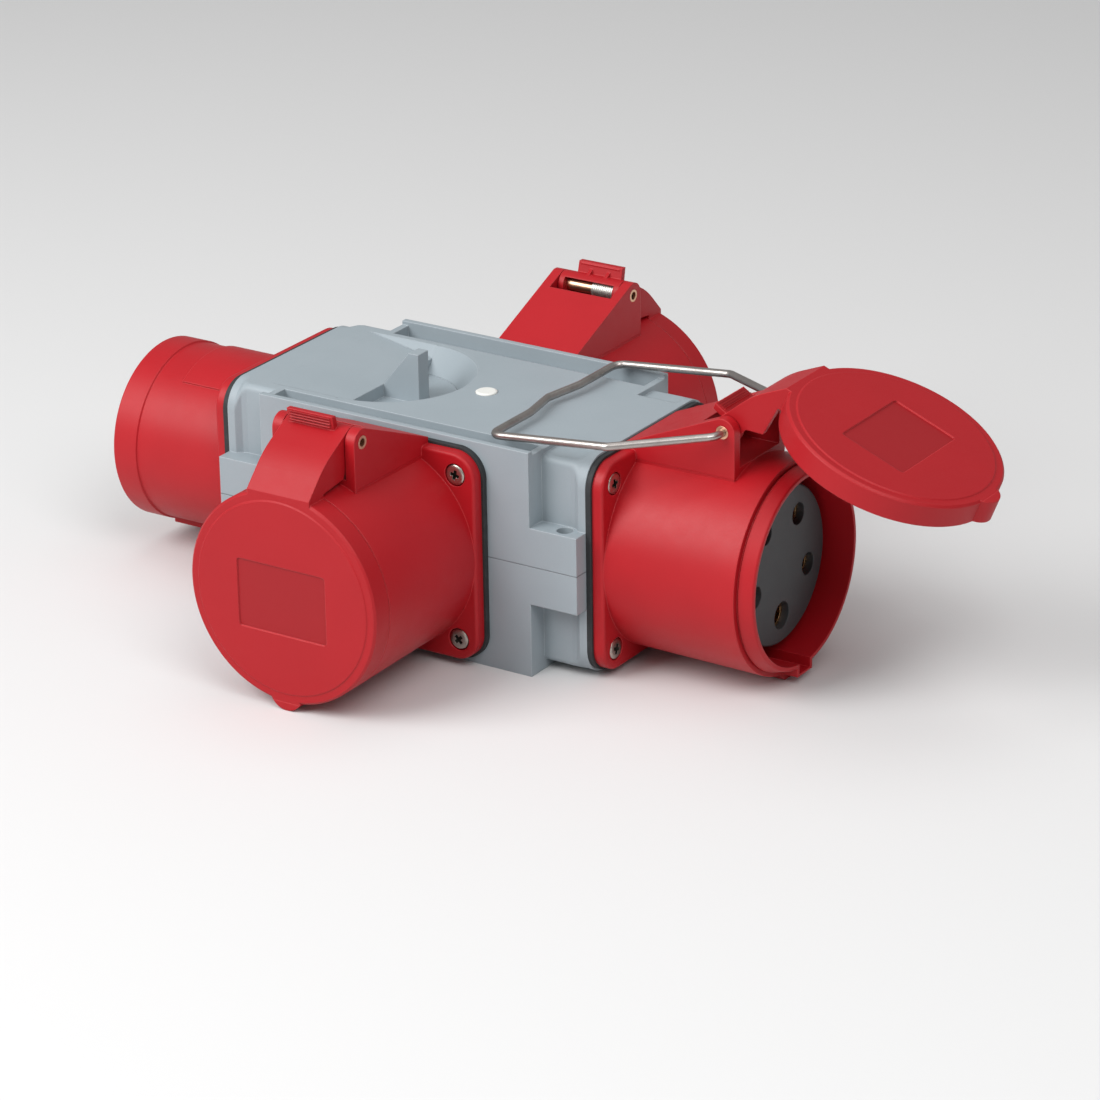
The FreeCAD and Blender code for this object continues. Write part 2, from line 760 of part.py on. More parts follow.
def add_tower(body):
    """Hollow wedge with two ears that carries the hinge pin over the socket body."""
    reach = hinge_reach - size.gasket_thickness
    rise = size.hinge_height - size.roof_start_height
    slope = arc_tangent(rise / reach) + arc_sine(size.ear_radius / square_root(reach * reach + rise * rise))
    roof_end_x = hinge_reach - size.ear_radius * sine(slope)
    roof_end_z = size.hinge_height + size.ear_radius * cosine(slope)
    ear_front = hinge_reach + size.ear_radius
    root = size.mouth_radius + (size.body_radius - size.mouth_radius) / 4
    half_width = size.hinge_width / 2
    body.pad("XZ", -half_width, half_width, lambda o: o.polygon(
        (size.gasket_thickness, root),
        (size.gasket_thickness, size.roof_start_height),
        (roof_end_x, roof_end_z),
        (ear_front, size.hinge_height),
        (ear_front, root)))
    body.pad("XZ", -half_width, half_width, lambda o: o.circle(
        hinge_reach, size.hinge_height, size.ear_radius))
    # The hollow is open to the front, and behind the pin it shows as a window in the roof.
    fall = sine(slope) / cosine(slope)
    window = hinge_reach - size.window_depth
    hollow_start = flange_front + size.tower_back_wall
    under_roof = size.roof_start_height - size.roof_thickness / cosine(slope)
    inner_half = half_width - size.ear_thickness
    floor = size.body_radius + size.fit_clearance * 2
    body.pocket("XZ", -inner_half, inner_half, lambda o: o.polygon(
        (hollow_start, floor),
        (hollow_start, under_roof + (hollow_start - size.gasket_thickness) * fall),
        (window, under_roof + (window - size.gasket_thickness) * fall),
        (window, roof_end_z * 2),
        (FAR, roof_end_z * 2),
        (FAR, floor)))
    body.pocket("XZ", -FAR, FAR, lambda o: o.circle(
        hinge_reach, size.hinge_height, size.pin_radius + size.fit_clearance))


def build_contact_carrier(name, side):
    """Insulating insert that holds the sleeves, seated with its shoulder on the mouth's floor."""
    carrier = Piece(f"{name}_contact_carrier", device_frame(side))
    carrier.revolve(lambda o: o.polygon(
        (-carrier_back, 0),
        (-carrier_back, tail_radius),
        (size.mouth_floor, tail_radius),
        (size.mouth_floor, size.carrier_radius),
        (carrier_front - size.ring_edge, size.carrier_radius),
        (carrier_front, size.carrier_radius - size.ring_edge),
        (carrier_front, 0)))
    carrier.pocket("YZ", -carrier_back, carrier_front, lambda o: [
        o.circle(across, up, pin + size.sleeve_wall + size.fit_clearance * 2)
        for across, up, pin in contact_places()])


def build_contact_sleeves(name, side):
    sleeves = Piece(f"{name}_contact_sleeves", device_frame(side), solids=5)
    front = carrier_front - size.sleeve_setback
    sleeves.pad("YZ", -contact_back, front, lambda o: [
        o.circle(across, up, pin + size.sleeve_wall + size.fit_clearance)
        for across, up, pin in contact_places()])
    sleeves.pocket("YZ", front - size.sleeve_bore_depth, front, lambda o: [
        o.circle(across, up, pin + size.fit_clearance) for across, up, pin in contact_places()])


def build_hinge_pin(name, side):
    pin = Piece(f"{name}_hinge_pin", device_frame(side))

    def drawing(outline):
        outline.circle(hinge_reach, size.hinge_height, size.pin_radius)
        outline.circle(hinge_reach, size.hinge_height, size.bail_wire_radius + size.running_clearance)

    pin.pad("XZ", -size.hinge_width / 2, size.hinge_width / 2, drawing)


def build_lid_spring(name, side):
    """Torsion spring on the pin: a close-wound coil with one leg along the tower's hollow."""
    spring = Piece(f"{name}_lid_spring", device_frame(side))
    inner = size.pin_radius + size.running_clearance
    outer = inner + size.spring_wire
    spring.pad("XZ", -size.spring_length, 0, lambda o: [
        o.circle(hinge_reach, size.hinge_height, outer),
        o.circle(hinge_reach, size.hinge_height, inner)])
    pitch = size.spring_length / size.spring_turns
    notch = size.spring_wire / 3
    for turn in range(1, int(size.spring_turns.value)):
        middle = -pitch * turn
        spring.pocket("XZ", middle - notch / 2, middle + notch / 2, lambda o: [
            o.circle(hinge_reach, size.hinge_height, outer * 2),
            o.circle(hinge_reach, size.hinge_height, outer - notch)])
    leg_level = size.hinge_height - inner - size.spring_wire / 2
    leg_half = size.spring_wire / 2
    spring.pad("YZ", hinge_reach - size.spring_leg_length, hinge_reach, lambda o: o.rectangle(
        -size.spring_length, size.spring_wire - size.spring_length,
        leg_level - leg_half, leg_level + leg_half))


def build_lid(name, side, opening):
    lid = Piece(f"{name}_lid", lid_frame(side, opening))
    face = lid_front + size.lid_step_height
    lid.revolve(lambda o: o.polygon(
        (lid_back, 0),
        (lid_back, size.lid_radius),
        (lid_front - size.lid_edge, size.lid_radius),
        (lid_front, size.lid_radius - size.lid_edge),
        (lid_front, size.lid_step_radius),
        (face, size.lid_step_radius - size.lid_step_height),
        (face, 0)))
    nose_middle = size.lid_nose_reach - size.lid_nose_radius
    lid.pad("YZ", lid_back, lid_front, lambda o: o.circle(0, -nose_middle, size.lid_nose_radius))
    add_hood(lid)
    # Inside, the lid is hollow round the mouth ring and its keyway lug.
    lid.groove(lambda o: o.rectangle(-FAR, lid_underside, 0, lid_inner_radius))
    lug_half = size.keyway_lug_width / 2 + size.lid_clearance
    lid.pocket("YZ", size.gasket_thickness, lid_underside, lambda o: o.rectangle(
        -lug_half, lug_half, -size.lid_nose_reach + size.lid_nose_wall, 0))
    lid.pocket("YZ", face - size.label_depth, face, lambda o: o.rounded_rectangle(
        size.label_width, size.label_height, size.label_corner), shift_up=-size.label_drop)
    add_knuckles(lid)
    add_tab(lid)


def hinge_point(across, up):
    """A point given from the hinge axis, in the socket's own frame."""
    return hinge_reach + across, size.hinge_height + up


def add_hood(lid):
    """Hooded arm from the top of the lid back to the hinge, as a solid before it is hollowed."""
    half = size.hood_width / 2
    front = lid_front - hinge_reach
    back = lid_back - hinge_reach
    rim = size.lid_radius - size.hinge_height
    tooth = size.body_radius + size.lid_clearance * 2 - size.hinge_height
    lid.pad("XZ", -half, half, lambda o: o.polygon(
        hinge_point(size.ear_radius / 2, size.ear_radius * 0.86),
        hinge_point(size.hood_bend_reach, -size.hood_bend_drop),
        hinge_point(front, rim - size.lid_edge),
        hinge_point(front, rim - size.ear_radius),
        hinge_point(back, rim - size.ear_radius),
        hinge_point(back, tooth - size.hood_tooth_fall),
        hinge_point(size.hood_tooth_reach, tooth),
        hinge_point(size.hood_tooth_reach - size.hood_cheek, -size.ear_radius * 1.2),
        hinge_point(0, -size.ear_radius * 0.9)))
    bend_x, bend_z = hinge_point(size.hood_bend_reach, -size.hood_bend_drop)
    lid.fillet(size.hood_bend_radius, lambda edge: all(
        math.hypot(vertex.X - bend_x.value, vertex.Z - bend_z.value) < 1e-6 for vertex in edge.Vertexes))
    lid.pad("XZ", -half, half, lambda o: o.circle(*hinge_point(0, 0), size.ear_radius))


def add_knuckles(lid):
    """Hollows the hood between its cheeks and bores the two knuckles for the pin."""
    inner_half = size.hood_width / 2 - size.hood_cheek
    coil_room = size.pin_radius + size.running_clearance + size.spring_wire + size.free_clearance
    wall = size.hood_wall
    front = lid_underside - hinge_reach
    rim = size.lid_radius - size.hinge_height
    lid.pocket("XZ", -inner_half, inner_half, lambda o: o.polygon(
        hinge_point(-size.window_depth, -size.hinge_height / 2),
        hinge_point(-size.window_depth, coil_room),
        hinge_point(0, coil_room),
        hinge_point(coil_room * 0.5, coil_room * 0.86),
        hinge_point(size.hood_bend_reach - wall * 0.7, -size.hood_bend_drop - wall),
        hinge_point(front - wall, rim - wall),
        hinge_point(front - wall, -size.hinge_height / 2)))
    lid.pocket("XZ", -FAR, FAR, lambda o: o.circle(
        *hinge_point(0, 0), size.pin_radius + size.running_clearance))


def add_tab(lid):
    """Finger tab above the hinge, with ridges on its front and two gussets behind."""
    base = size.ear_radius * 0.7
    lean = size.tab_thickness / 2
    lid.pad("XZ", -size.tab_left, size.tab_right, lambda o: o.polygon(
        hinge_point(size.tab_thickness / 2, base),
        hinge_point(size.tab_thickness * 1.7, base),
        hinge_point(size.tab_thickness * 1.7 + lean, size.tab_height),
        hinge_point(size.tab_thickness * 0.7 + lean, size.tab_height)))
    ridges = 4
    first = base + size.ear_radius * 0.25
    pitch = (size.tab_height - first) / ridges
    margin = size.tab_thickness / 2
    for number in range(ridges):
        low = first + pitch * number
        lid.pad("XZ", -size.tab_left + margin, size.tab_right - margin, lambda o: o.polygon(
            hinge_point(size.tab_thickness, low),
            hinge_point(size.tab_thickness * 1.7 + lean + size.tab_ridge, low + pitch / 4),
            hinge_point(size.tab_thickness, low + pitch / 2)))
    span = size.tab_left + size.tab_right
    for share in (0.3, 0.7):
        middle = span * share - size.tab_left
        lid.pad("XZ", middle - size.tab_gusset / 2, middle + size.tab_gusset / 2, lambda o: o.polygon(
            hinge_point(size.tab_thickness, size.tab_height - size.tab_thickness),
            hinge_point(size.tab_thickness, base),
            hinge_point(-size.tab_thickness * 0.8, size.ear_radius * 0.9)))


def build_lid_seal(name, side, opening):
    seal = Piece(f"{name}_lid_seal", lid_frame(side, opening))

    def drawing(outline):
        outline.circle(0, 0, lid_inner_radius - size.free_clearance)
        outline.circle(0, 0, size.lid_seal_inner_radius)

    seal.pad("YZ", lid_underside - size.lid_seal_thickness, lid_underside, drawing)


def build_inlet_shroud():
    shroud = Piece("inlet_shroud", device_frame("left"))
    add_flange(shroud, size.inlet_radius - size.inlet_wall / 2)
    spigot_bore = size.spigot_radius - size.spigot_wall
    inner = size.inlet_radius - size.inlet_wall
    band_start = size.inlet_length - size.inlet_band_width
    edge = size.ring_edge
    shroud.revolve(lambda o: o.polygon(
        (-size.spigot_depth, spigot_bore),
        (-size.spigot_depth, size.spigot_radius),
        (size.gasket_thickness, size.spigot_radius),
        (size.gasket_thickness, size.inlet_radius),
        (band_start, size.inlet_radius),
        (band_start + edge, size.inlet_band_radius),
        (size.inlet_length - edge, size.inlet_band_radius),
        (size.inlet_length, size.inlet_band_radius - edge),
        (size.inlet_length, inner),
        (size.inlet_floor, inner),
        (size.inlet_floor, spigot_bore)))
    # Key along the bottom and a raised bare pad on top
    key_half = size.inlet_key_width / 2
    key_end = size.inlet_length - size.inlet_key_setback
    shroud.pad("YZ", size.gasket_thickness, key_end, lambda o: o.rectangle(
        -key_half, key_half, -size.inlet_key_radius, -size.inlet_radius + size.inlet_wall / 2))
    shroud.revolve(lambda o: o.rectangle(
        size.inlet_pad_start, size.inlet_pad_start + size.inlet_pad_length,
        size.inlet_radius - size.inlet_wall / 2, size.inlet_radius + size.inlet_pad_rise),
        angle=size.inlet_pad_angle)


def build_inlet_pin_carrier():
    carrier = Piece("inlet_pin_carrier", device_frame("left"))
    face = inlet_carrier_face
    rim = size.inlet_radius - size.inlet_wall - size.fit_clearance
    carrier.revolve(lambda o: o.polygon(
        (-carrier_back, 0),
        (-carrier_back, tail_radius),
        (size.inlet_floor, tail_radius),
        (size.inlet_floor, rim),
        (face, rim),
        (face, 0)))
    play = size.inlet_pin_shoulder + size.fit_clearance
    carrier.pocket("YZ", -carrier_back, face, lambda o: [
        o.circle(across, up, pin + play) for across, up, pin in contact_places()])


def build_inlet_pins():
    """Five pins, each with a thicker root that seats in the carrier."""
    pins = Piece("inlet_contact_pins", device_frame("left"), solids=5)
    tip = size.inlet_length - size.inlet_pin_setback
    chamfer = size.inlet_pin_chamfer
    for across, up, radius in contact_places():
        pins.revolve(lambda o: o.polygon(
            (-contact_back, 0),
            (-contact_back, radius + size.inlet_pin_shoulder),
            (inlet_carrier_face, radius + size.inlet_pin_shoulder),
            (inlet_carrier_face, radius),
            (tip - chamfer, radius),
            (tip, radius - chamfer),
            (tip, 0)), offset=across, shift_up=up)


def rounded_path(points, radius):
    """A wire through the points, with every inner corner rounded to the same radius."""
    edges = []
    start = points[0]
    for before, corner, after in zip(points, points[1:], points[2:]):
        arriving = (corner - before).normalize()
        leaving = (after - corner).normalize()
        turn = arriving.getAngle(leaving)
        trim = radius * math.tan(turn / 2)
        arc_start = corner - arriving * trim
        arc_end = corner + leaving * trim
        inward = (leaving - arriving).normalize()
        middle = corner + inward * (radius / math.cos(turn / 2) - radius)
        edges.append(Part.LineSegment(start, arc_start).toShape())
        edges.append(Part.Arc(arc_start, middle, arc_end).toShape())
        start = arc_end
    edges.append(Part.LineSegment(start, points[-1]).toShape())
    return Part.Wire(edges)


def build_bail():
    """Bent steel wire whose two ends turn inwards into the right socket's hollow hinge pin."""
    half = size.bail_width.value / 2
    ear = size.hinge_width.value / 2
    reach = size.bail_reach.value
    bend = size.bail_bend_radius.value
    wire_radius = size.bail_wire_radius.value
    kink_half = size.bail_kink_width.value / 2
    inside = ear - size.bail_insert.value
    outside = ear + bend + size.free_clearance.value
    arm = [(0.0, inside), (0.0, outside), (size.bail_shoulder.value, half), (reach, half), (reach, kink_half)]
    route = [Vector(-along, -across, 0) for along, across in arm]
    route.append(Vector(-reach - size.bail_kink.value, 0, 0))
    route += [Vector(-along, across, 0) for along, across in reversed(arm)]
    spine = rounded_path(route, bend)
    start = Part.Wire(Part.Circle(route[0], Y_AXIS, wire_radius).toShape())
    bail = document.addObject("Part::Feature", "wire_bail")
    bail.Label = "wire_bail"
    bail.Shape = spine.makePipeShell([start], True, True)
    # At rest the crossbar lies just over the box, so the bail slopes down from the hinge.
    drop = size.hinge_height.value - size.bail_rest_height.value
    slope = math.degrees(math.asin(drop / reach))
    hinge = Vector(hinge_reach.value, 0, size.hinge_height.value)
    bail.Placement = device_frame("right") * Placement(hinge, Rotation(Y_AXIS, -slope))
    Piece.made.append((bail, 1))


def build_socket(name, side, opening):
    build_gasket(name, side)
    build_flange_screws(name, side)
    build_socket_body(name, side)
    build_contact_carrier(name, side)
    build_contact_sleeves(name, side)
    build_hinge_pin(name, side)
    build_lid_spring(name, side)
    build_lid(name, side, opening)
    build_lid_seal(name, side, opening)


def build_inlet():
    build_gasket("inlet", "left")
    build_flange_screws("inlet", "left")
    build_inlet_shroud()
    build_inlet_pin_carrier()
    build_inlet_pins()


def check_model():
    """Stops on any failed object, empty shape or cut that removed nothing."""
    for item in document.Objects:
        if "Invalid" in item.State or "Error" in item.State:
            raise RuntimeError(f"{item.Label} failed: {item.State}")
    for piece, solids in Piece.made:
        if piece.Shape.isNull() or not piece.Shape.isValid():
            raise RuntimeError(f"{piece.Label} has no valid shape")
        if len(piece.Shape.Solids) != solids:
            raise RuntimeError(f"{piece.Label} has {len(piece.Shape.Solids)} solids, not {solids}")
        volume = 0.0
        for feature in getattr(piece, "Group", []):
            if not feature.isDerivedFrom("PartDesign::Feature"):
                continue
            cuts = feature.TypeId in ("PartDesign::Pocket", "PartDesign::Groove")
            if cuts and feature.Shape.Volume >= volume:
                raise RuntimeError(f"{feature.Label} of {piece.Label} cuts nothing")
            volume = feature.Shape.Volume


def main():
    build_upper_housing()
    build_lower_housing()
    build_breather_plug()
    build_housing_screws()
    build_terminal_block()
    build_inlet()
    build_leads("inlet", "left", size.terminal_length / 2)
    sockets = (("front", 0.0), ("rear", 0.0), ("right", size.lid_open_angle.value))
    for side, opening in sockets:
        build_socket(side, side, opening)
        half_block = size.terminal_length / 2 if side == "right" else size.terminal_width / 2
        build_leads(side, side, half_block)
    build_bail()
    document.recompute()
    check_model()
    os.makedirs("parts", exist_ok=True)
    for piece, _ in Piece.made:
        piece.Shape.exportStep(f"parts/{piece.Label}.step")


main()
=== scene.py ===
"""Looks of the five-pole power distributor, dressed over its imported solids."""

from __future__ import annotations

import json
import logging
import math
from abc import ABC, abstractmethod
from dataclasses import dataclass, field, replace
from enum import Enum
from itertools import product
from typing import Any, Iterable, Mapping, Sequence, Union

import bmesh
import bpy
from mathutils import Matrix, Vector

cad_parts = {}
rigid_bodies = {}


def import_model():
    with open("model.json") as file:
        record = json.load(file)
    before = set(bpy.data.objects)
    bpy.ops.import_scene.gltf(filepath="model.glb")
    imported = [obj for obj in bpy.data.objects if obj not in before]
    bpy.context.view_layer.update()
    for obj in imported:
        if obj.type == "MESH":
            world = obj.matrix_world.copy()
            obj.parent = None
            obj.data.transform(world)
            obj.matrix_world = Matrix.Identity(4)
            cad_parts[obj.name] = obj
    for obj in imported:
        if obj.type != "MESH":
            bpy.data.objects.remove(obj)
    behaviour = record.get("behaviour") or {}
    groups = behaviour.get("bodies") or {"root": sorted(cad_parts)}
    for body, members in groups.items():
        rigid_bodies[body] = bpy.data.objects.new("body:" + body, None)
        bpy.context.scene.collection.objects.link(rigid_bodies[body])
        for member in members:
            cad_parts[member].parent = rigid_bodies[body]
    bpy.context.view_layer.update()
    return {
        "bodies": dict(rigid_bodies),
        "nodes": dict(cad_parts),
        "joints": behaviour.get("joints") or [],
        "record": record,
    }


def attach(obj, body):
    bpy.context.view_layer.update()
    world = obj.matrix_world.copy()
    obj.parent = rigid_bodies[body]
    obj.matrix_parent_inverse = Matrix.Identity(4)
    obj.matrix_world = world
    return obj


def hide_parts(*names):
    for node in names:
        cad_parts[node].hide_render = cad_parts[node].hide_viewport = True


LOG = logging.getLogger("power_distributor")
MM = 0.001
BASE_BODY = "base"

SCREEN_WHITE = 255.0
SCREEN_KNEE = 0.04045
SCREEN_SLOPE = 12.92
SCREEN_OFFSET = 0.055
SCREEN_POWER = 2.4

Colour = tuple[float, float, float]
Number = Union[float, "Signal"]
Shade = Union[Colour, "Signal"]
Key = Union[str, int]


def linear(red: int, green: int, blue: int) -> Colour:
    """Turns a colour as seen on a screen into the light values that shaders take.

    Args:
        red: Red from 0 to 255.
        green: Green from 0 to 255.
        blue: Blue from 0 to 255.

    Returns:
        The colour in linear light.
    """
    def channel(value: int) -> float:
        """One channel in linear light."""
        share = value / SCREEN_WHITE
        if share <= SCREEN_KNEE:
            return share / SCREEN_SLOPE
        return ((share + SCREEN_OFFSET) / (1.0 + SCREEN_OFFSET)) ** SCREEN_POWER

    return channel(red), channel(green), channel(blue)


def darker(colour: Colour, share: float) -> Colour:
    """Gives a colour with only a share of its light.

    Args:
        colour: The colour in linear light.
        share: Share of the light that is left.

    Returns:
        The darker colour.
    """
    red, green, blue = colour
    return red * share, green * share, blue * share


class Side(Enum):
    """Faces of the box that carry a device."""

    FRONT = "front"
    REAR = "rear"
    RIGHT = "right"
    INLET = "inlet"


@dataclass(frozen=True)
class Frame:
    """Places of the devices on the box, the same as in the solids."""

    box_length: float = 161.0 * MM
    box_width: float = 97.0 * MM
    axis_height: float = 44.2 * MM
    hinge_reach: float = 43.3 * MM
    hinge_height: float = 54.8 * MM

    def device(self, side: Side) -> Matrix:
        """Gives the place of a device, with local X outwards and Z up.

        Args:
            side: The face of the box.

        Returns:
            The matrix from the device's own frame to the shared frame.
        """
        spots = {
            Side.FRONT: ((0.0, -self.box_width / 2), -90.0),
            Side.REAR: ((0.0, self.box_width / 2), 90.0),
            Side.RIGHT: ((self.box_length / 2, 0.0), 0.0),
            Side.INLET: ((-self.box_length / 2, 0.0), 180.0),
        }
        (across, along), turn = spots[side]
        place = Matrix.Translation((across, along, self.axis_height))
        return place @ Matrix.Rotation(math.radians(turn), 4, "Z")

    def hinge(self, side: Side, opening: float = 0.0) -> Matrix:
        """Gives the frame of a socket's hinge, with its origin on the hinge axis.

        Args:
            side: The face of the box.
            opening: Angle in degrees by which the lid stands open.

        Returns:
            The matrix from the hinge's own frame to the shared frame.
        """
        place = Matrix.Translation((self.hinge_reach, 0.0, self.hinge_height))
        return self.device(side) @ place @ Matrix.Rotation(math.radians(-opening), 4, "Y")

    def lid(self, side: Side, opening: float) -> Matrix:
        """Gives the frame of a lid, which is its socket's own frame when it is shut.

        Args:
            side: The face of the box.
            opening: Angle in degrees by which the lid stands open.

        Returns:
            The matrix from the lid's own frame to the shared frame.
        """
        back = Matrix.Translation((-self.hinge_reach, 0.0, -self.hinge_height))
        return self.hinge(side, opening) @ back


PLACES = Frame()
SHUT = 0.0
HELD_OPEN = 68.0
LIDS = {Side.FRONT: SHUT, Side.REAR: SHUT, Side.RIGHT: HELD_OPEN}


class Signal:
    """A shader socket that takes part in Python expressions."""

    def __init__(self, graph: Graph, socket: bpy.types.NodeSocket) -> None:
        """Keeps the socket and the graph that it belongs to."""
        self.graph = graph
        self.socket = socket

    def __add__(self, other: Number) -> Signal:
        """Sum."""
        return self.graph.math("ADD", self, other)

    def __radd__(self, other: Number) -> Signal:
        """Sum with a number in front."""
        return self.graph.math("ADD", other, self)

    def __sub__(self, other: Number) -> Signal:
        """Difference."""
        return self.graph.math("SUBTRACT", self, other)

    def __rsub__(self, other: Number) -> Signal:
        """Difference from a number."""
        return self.graph.math("SUBTRACT", other, self)

    def __mul__(self, other: Number) -> Signal:
        """Product."""
        return self.graph.math("MULTIPLY", self, other)

    def __rmul__(self, other: Number) -> Signal:
        """Product with a number in front."""
        return self.graph.math("MULTIPLY", other, self)

    def __abs__(self) -> Signal:
        """Distance from zero."""
        return self.graph.math("ABSOLUTE", self, 0.0)

    def ramp(self, low: float, high: float) -> Signal:
        """Runs smoothly from 0 at low to 1 at high.

        Args:
            low: Value that gives 0.
            high: Value that gives 1.

        Returns:
            The smooth step.
        """
        settings = {"interpolation_type": "SMOOTHSTEP"}
        links = {"Value": self, "From Min": low, "From Max": high}
        return self.graph.node("ShaderNodeMapRange", settings, links).out("Result")


class ShaderNode:
    """A node that has been added to a graph."""

    def __init__(self, graph: Graph, node: bpy.types.Node) -> None:
        """Keeps the node and its graph."""
        self.graph = graph
        self.node = node

    def out(self, key: Key) -> Signal:
        """The output of that name or number as a signal."""
        return Signal(self.graph, self.node.outputs[key])


class Graph:
    """Node tree of one material, filled by expressions."""

    MIX_SHARE = 0
    MIX_FIRST = 6
    MIX_SECOND = 7
    MIX_RESULT = 2
    EDGE_SAMPLES = 6
    EDGE_BEGIN = 0.02
    EDGE_FULL = 0.25

    def __init__(self, name: str) -> None:
        """Starts a material with one principled shader.

        Args:
            name: Name of the material.
        """
        self.material = bpy.data.materials.new(name)
        self.material.use_nodes = True
        self.tree = self.material.node_tree
        self.shader = ShaderNode(self, self.tree.nodes["Principled BSDF"])

    def node(
        self,
        kind: str,
        settings: Mapping[str, Any] | None = None,
        sockets: Mapping[Key, Any] | None = None,
    ) -> ShaderNode:
        """Adds a node, sets it up and links it.

        Args:
            kind: Blender's type of the node.
            settings: Properties of the node, set before its sockets.
            sockets: Values or signals for its inputs, by name or number.

        Returns:
            The new node.
        """
        added = ShaderNode(self, self.tree.nodes.new(kind))
        for key, value in (settings or {}).items():
            setattr(added.node, key, value)
        self.feed(added, sockets or {})
        return added

    def feed(self, target: ShaderNode, sockets: Mapping[Key, Any]) -> None:
        """Sets or links inputs of a node.

        Args:
            target: The node.
            sockets: Values or signals, by the input's name or number.
        """
        for key, value in sockets.items():
            entry = target.node.inputs[key]
            if isinstance(value, Signal):
                self.tree.links.new(value.socket, entry)
            else:
                entry.default_value = value

    def math(self, operation: str, first: Number, second: Number) -> Signal:
        """Adds one Math node.

        Args:
            operation: Blender's name of the operation.
            first: Left operand.
            second: Right operand.

        Returns:
            The result.
        """
        settings = {"operation": operation}
        return self.node("ShaderNodeMath", settings, {0: first, 1: second}).out("Value")

    def mix(self, share: Number, first: Shade, second: Shade) -> Signal:
        """Mixes two colours.

        Args:
            share: Share of the second colour.
            first: Colour at share 0.
            second: Colour at share 1.

        Returns:
            The mixed colour.
        """
        links: dict[Key, Any] = {self.MIX_SHARE: share}
        for key, shade in ((self.MIX_FIRST, first), (self.MIX_SECOND, second)):
            links[key] = shade if isinstance(shade, Signal) else (*shade, 1.0)
        return self.node("ShaderNodeMix", {"data_type": "RGBA"}, links).out(self.MIX_RESULT)

    def place(self) -> Signal:
        """Place on the piece, in metres of the shared frame at rest."""
        return self.node("ShaderNodeTexCoord").out("Object")

    def axis(self, place: Signal, letter: str) -> Signal:
        """One coordinate of a place, by its letter."""
        return self.node("ShaderNodeSeparateXYZ", None, {0: place}).out(letter)

    def edges(self, radius: float) -> tuple[Signal, Signal]:
        """Rounds the look of sharp edges.

        Args:
            radius: Radius of the rounding in metres.

        Returns:
            The rounded normal, and a mask that is 1 along edges.
        """
        bevel = self.node("ShaderNodeBevel", {"samples": self.EDGE_SAMPLES}, {"Radius": radius})
        rounded = bevel.out("Normal")
        flat = self.node("ShaderNodeNewGeometry").out("Normal")
        settings = {"operation": "DOT_PRODUCT"}
        turn = self.node("ShaderNodeVectorMath", settings, {0: rounded, 1: flat}).out("Value")
        return rounded, (1.0 - turn).ramp(self.EDGE_BEGIN, self.EDGE_FULL)

    def bump(self, height: Signal, depth: float, strength: float, normal: Signal) -> Signal:
        """Surface relief.

        Args:
            height: Height between 0 and 1.
            depth: Real depth in metres.
            strength: Share of the relief that shows.
            normal: Normal that the relief is laid over.

        Returns:
            The bent normal.
        """
        links = {"Height": height, "Distance": depth, "Strength": strength, "Normal": normal}
        return self.node("ShaderNodeBump", None, links).out("Normal")

    def finish(
        self,
        fixed: Mapping[str, Any],
        varied: Mapping[str, Signal],
    ) -> bpy.types.Material:
        """Sets the principled shader.

        Args:
            fixed: Values that are the same all over.
            varied: Signals that change over the surface.

        Returns:
            The material.
        """
        self.feed(self.shader, fixed)
        self.feed(self.shader, varied)
        return self.material


@dataclass(frozen=True)
class Mottle:
    """Soft random mottling, and how much it tints and roughens a surface.

    Attributes:
        grain: Size of its blobs in metres.
        detail: Number of finer octaves.
        rough: Strength of the finer octaves.
        low: Value up to which it doesn't tint.
        high: Value from which it tints in full.
        tint: Share of the second colour where it tints in full.
        swing: Change of roughness from its lowest to its highest value.
    """

    grain: float
    detail: float = 2.0
    rough: float = 0.5
    low: float = 0.0
    high: float = 1.0
    tint: float = 0.0
    swing: float = 0.0
    middle: float = 0.5

    def read(self, graph: Graph, place: Signal) -> Signal:
        """Adds the mottling to a material.

        Args:
            graph: Graph of the material.
            place: Where it is read.

        Returns:
            A value around the middle.
        """
        links = {"Vector": place, "Scale": 1.0 / self.grain}
        links |= {"Detail": self.detail, "Roughness": self.rough}
        return graph.node("ShaderNodeTexNoise", None, links).out("Fac")

    def tinted(self, value: Signal) -> Signal:
        """Share of the second colour for a value of the mottling."""
        return value.ramp(self.low, self.high) * self.tint

    def swung(self, value: Signal) -> Signal:
        """Change of roughness for a value of the mottling."""
        return (value - self.middle) * self.swing


@dataclass(frozen=True)
class Seam:
    """Dark level joint between two half shells."""

    height: float
    core: float = 0.08 * MM
    rim: float = 0.3 * MM
    shade: float = 0.28
    tint: float = 0.55
    depth: float = 3.0

    def mask(self, graph: Graph, place: Signal) -> Signal:
        """Marks the joint.

        Args:
            graph: Graph of the shells' material.
            place: Place in the shared frame at rest.

        Returns:
            A value that is 1 in the joint.
        """
        away = abs(graph.axis(place, "Z") - self.height)
        return 1.0 - away.ramp(self.core, self.rim)


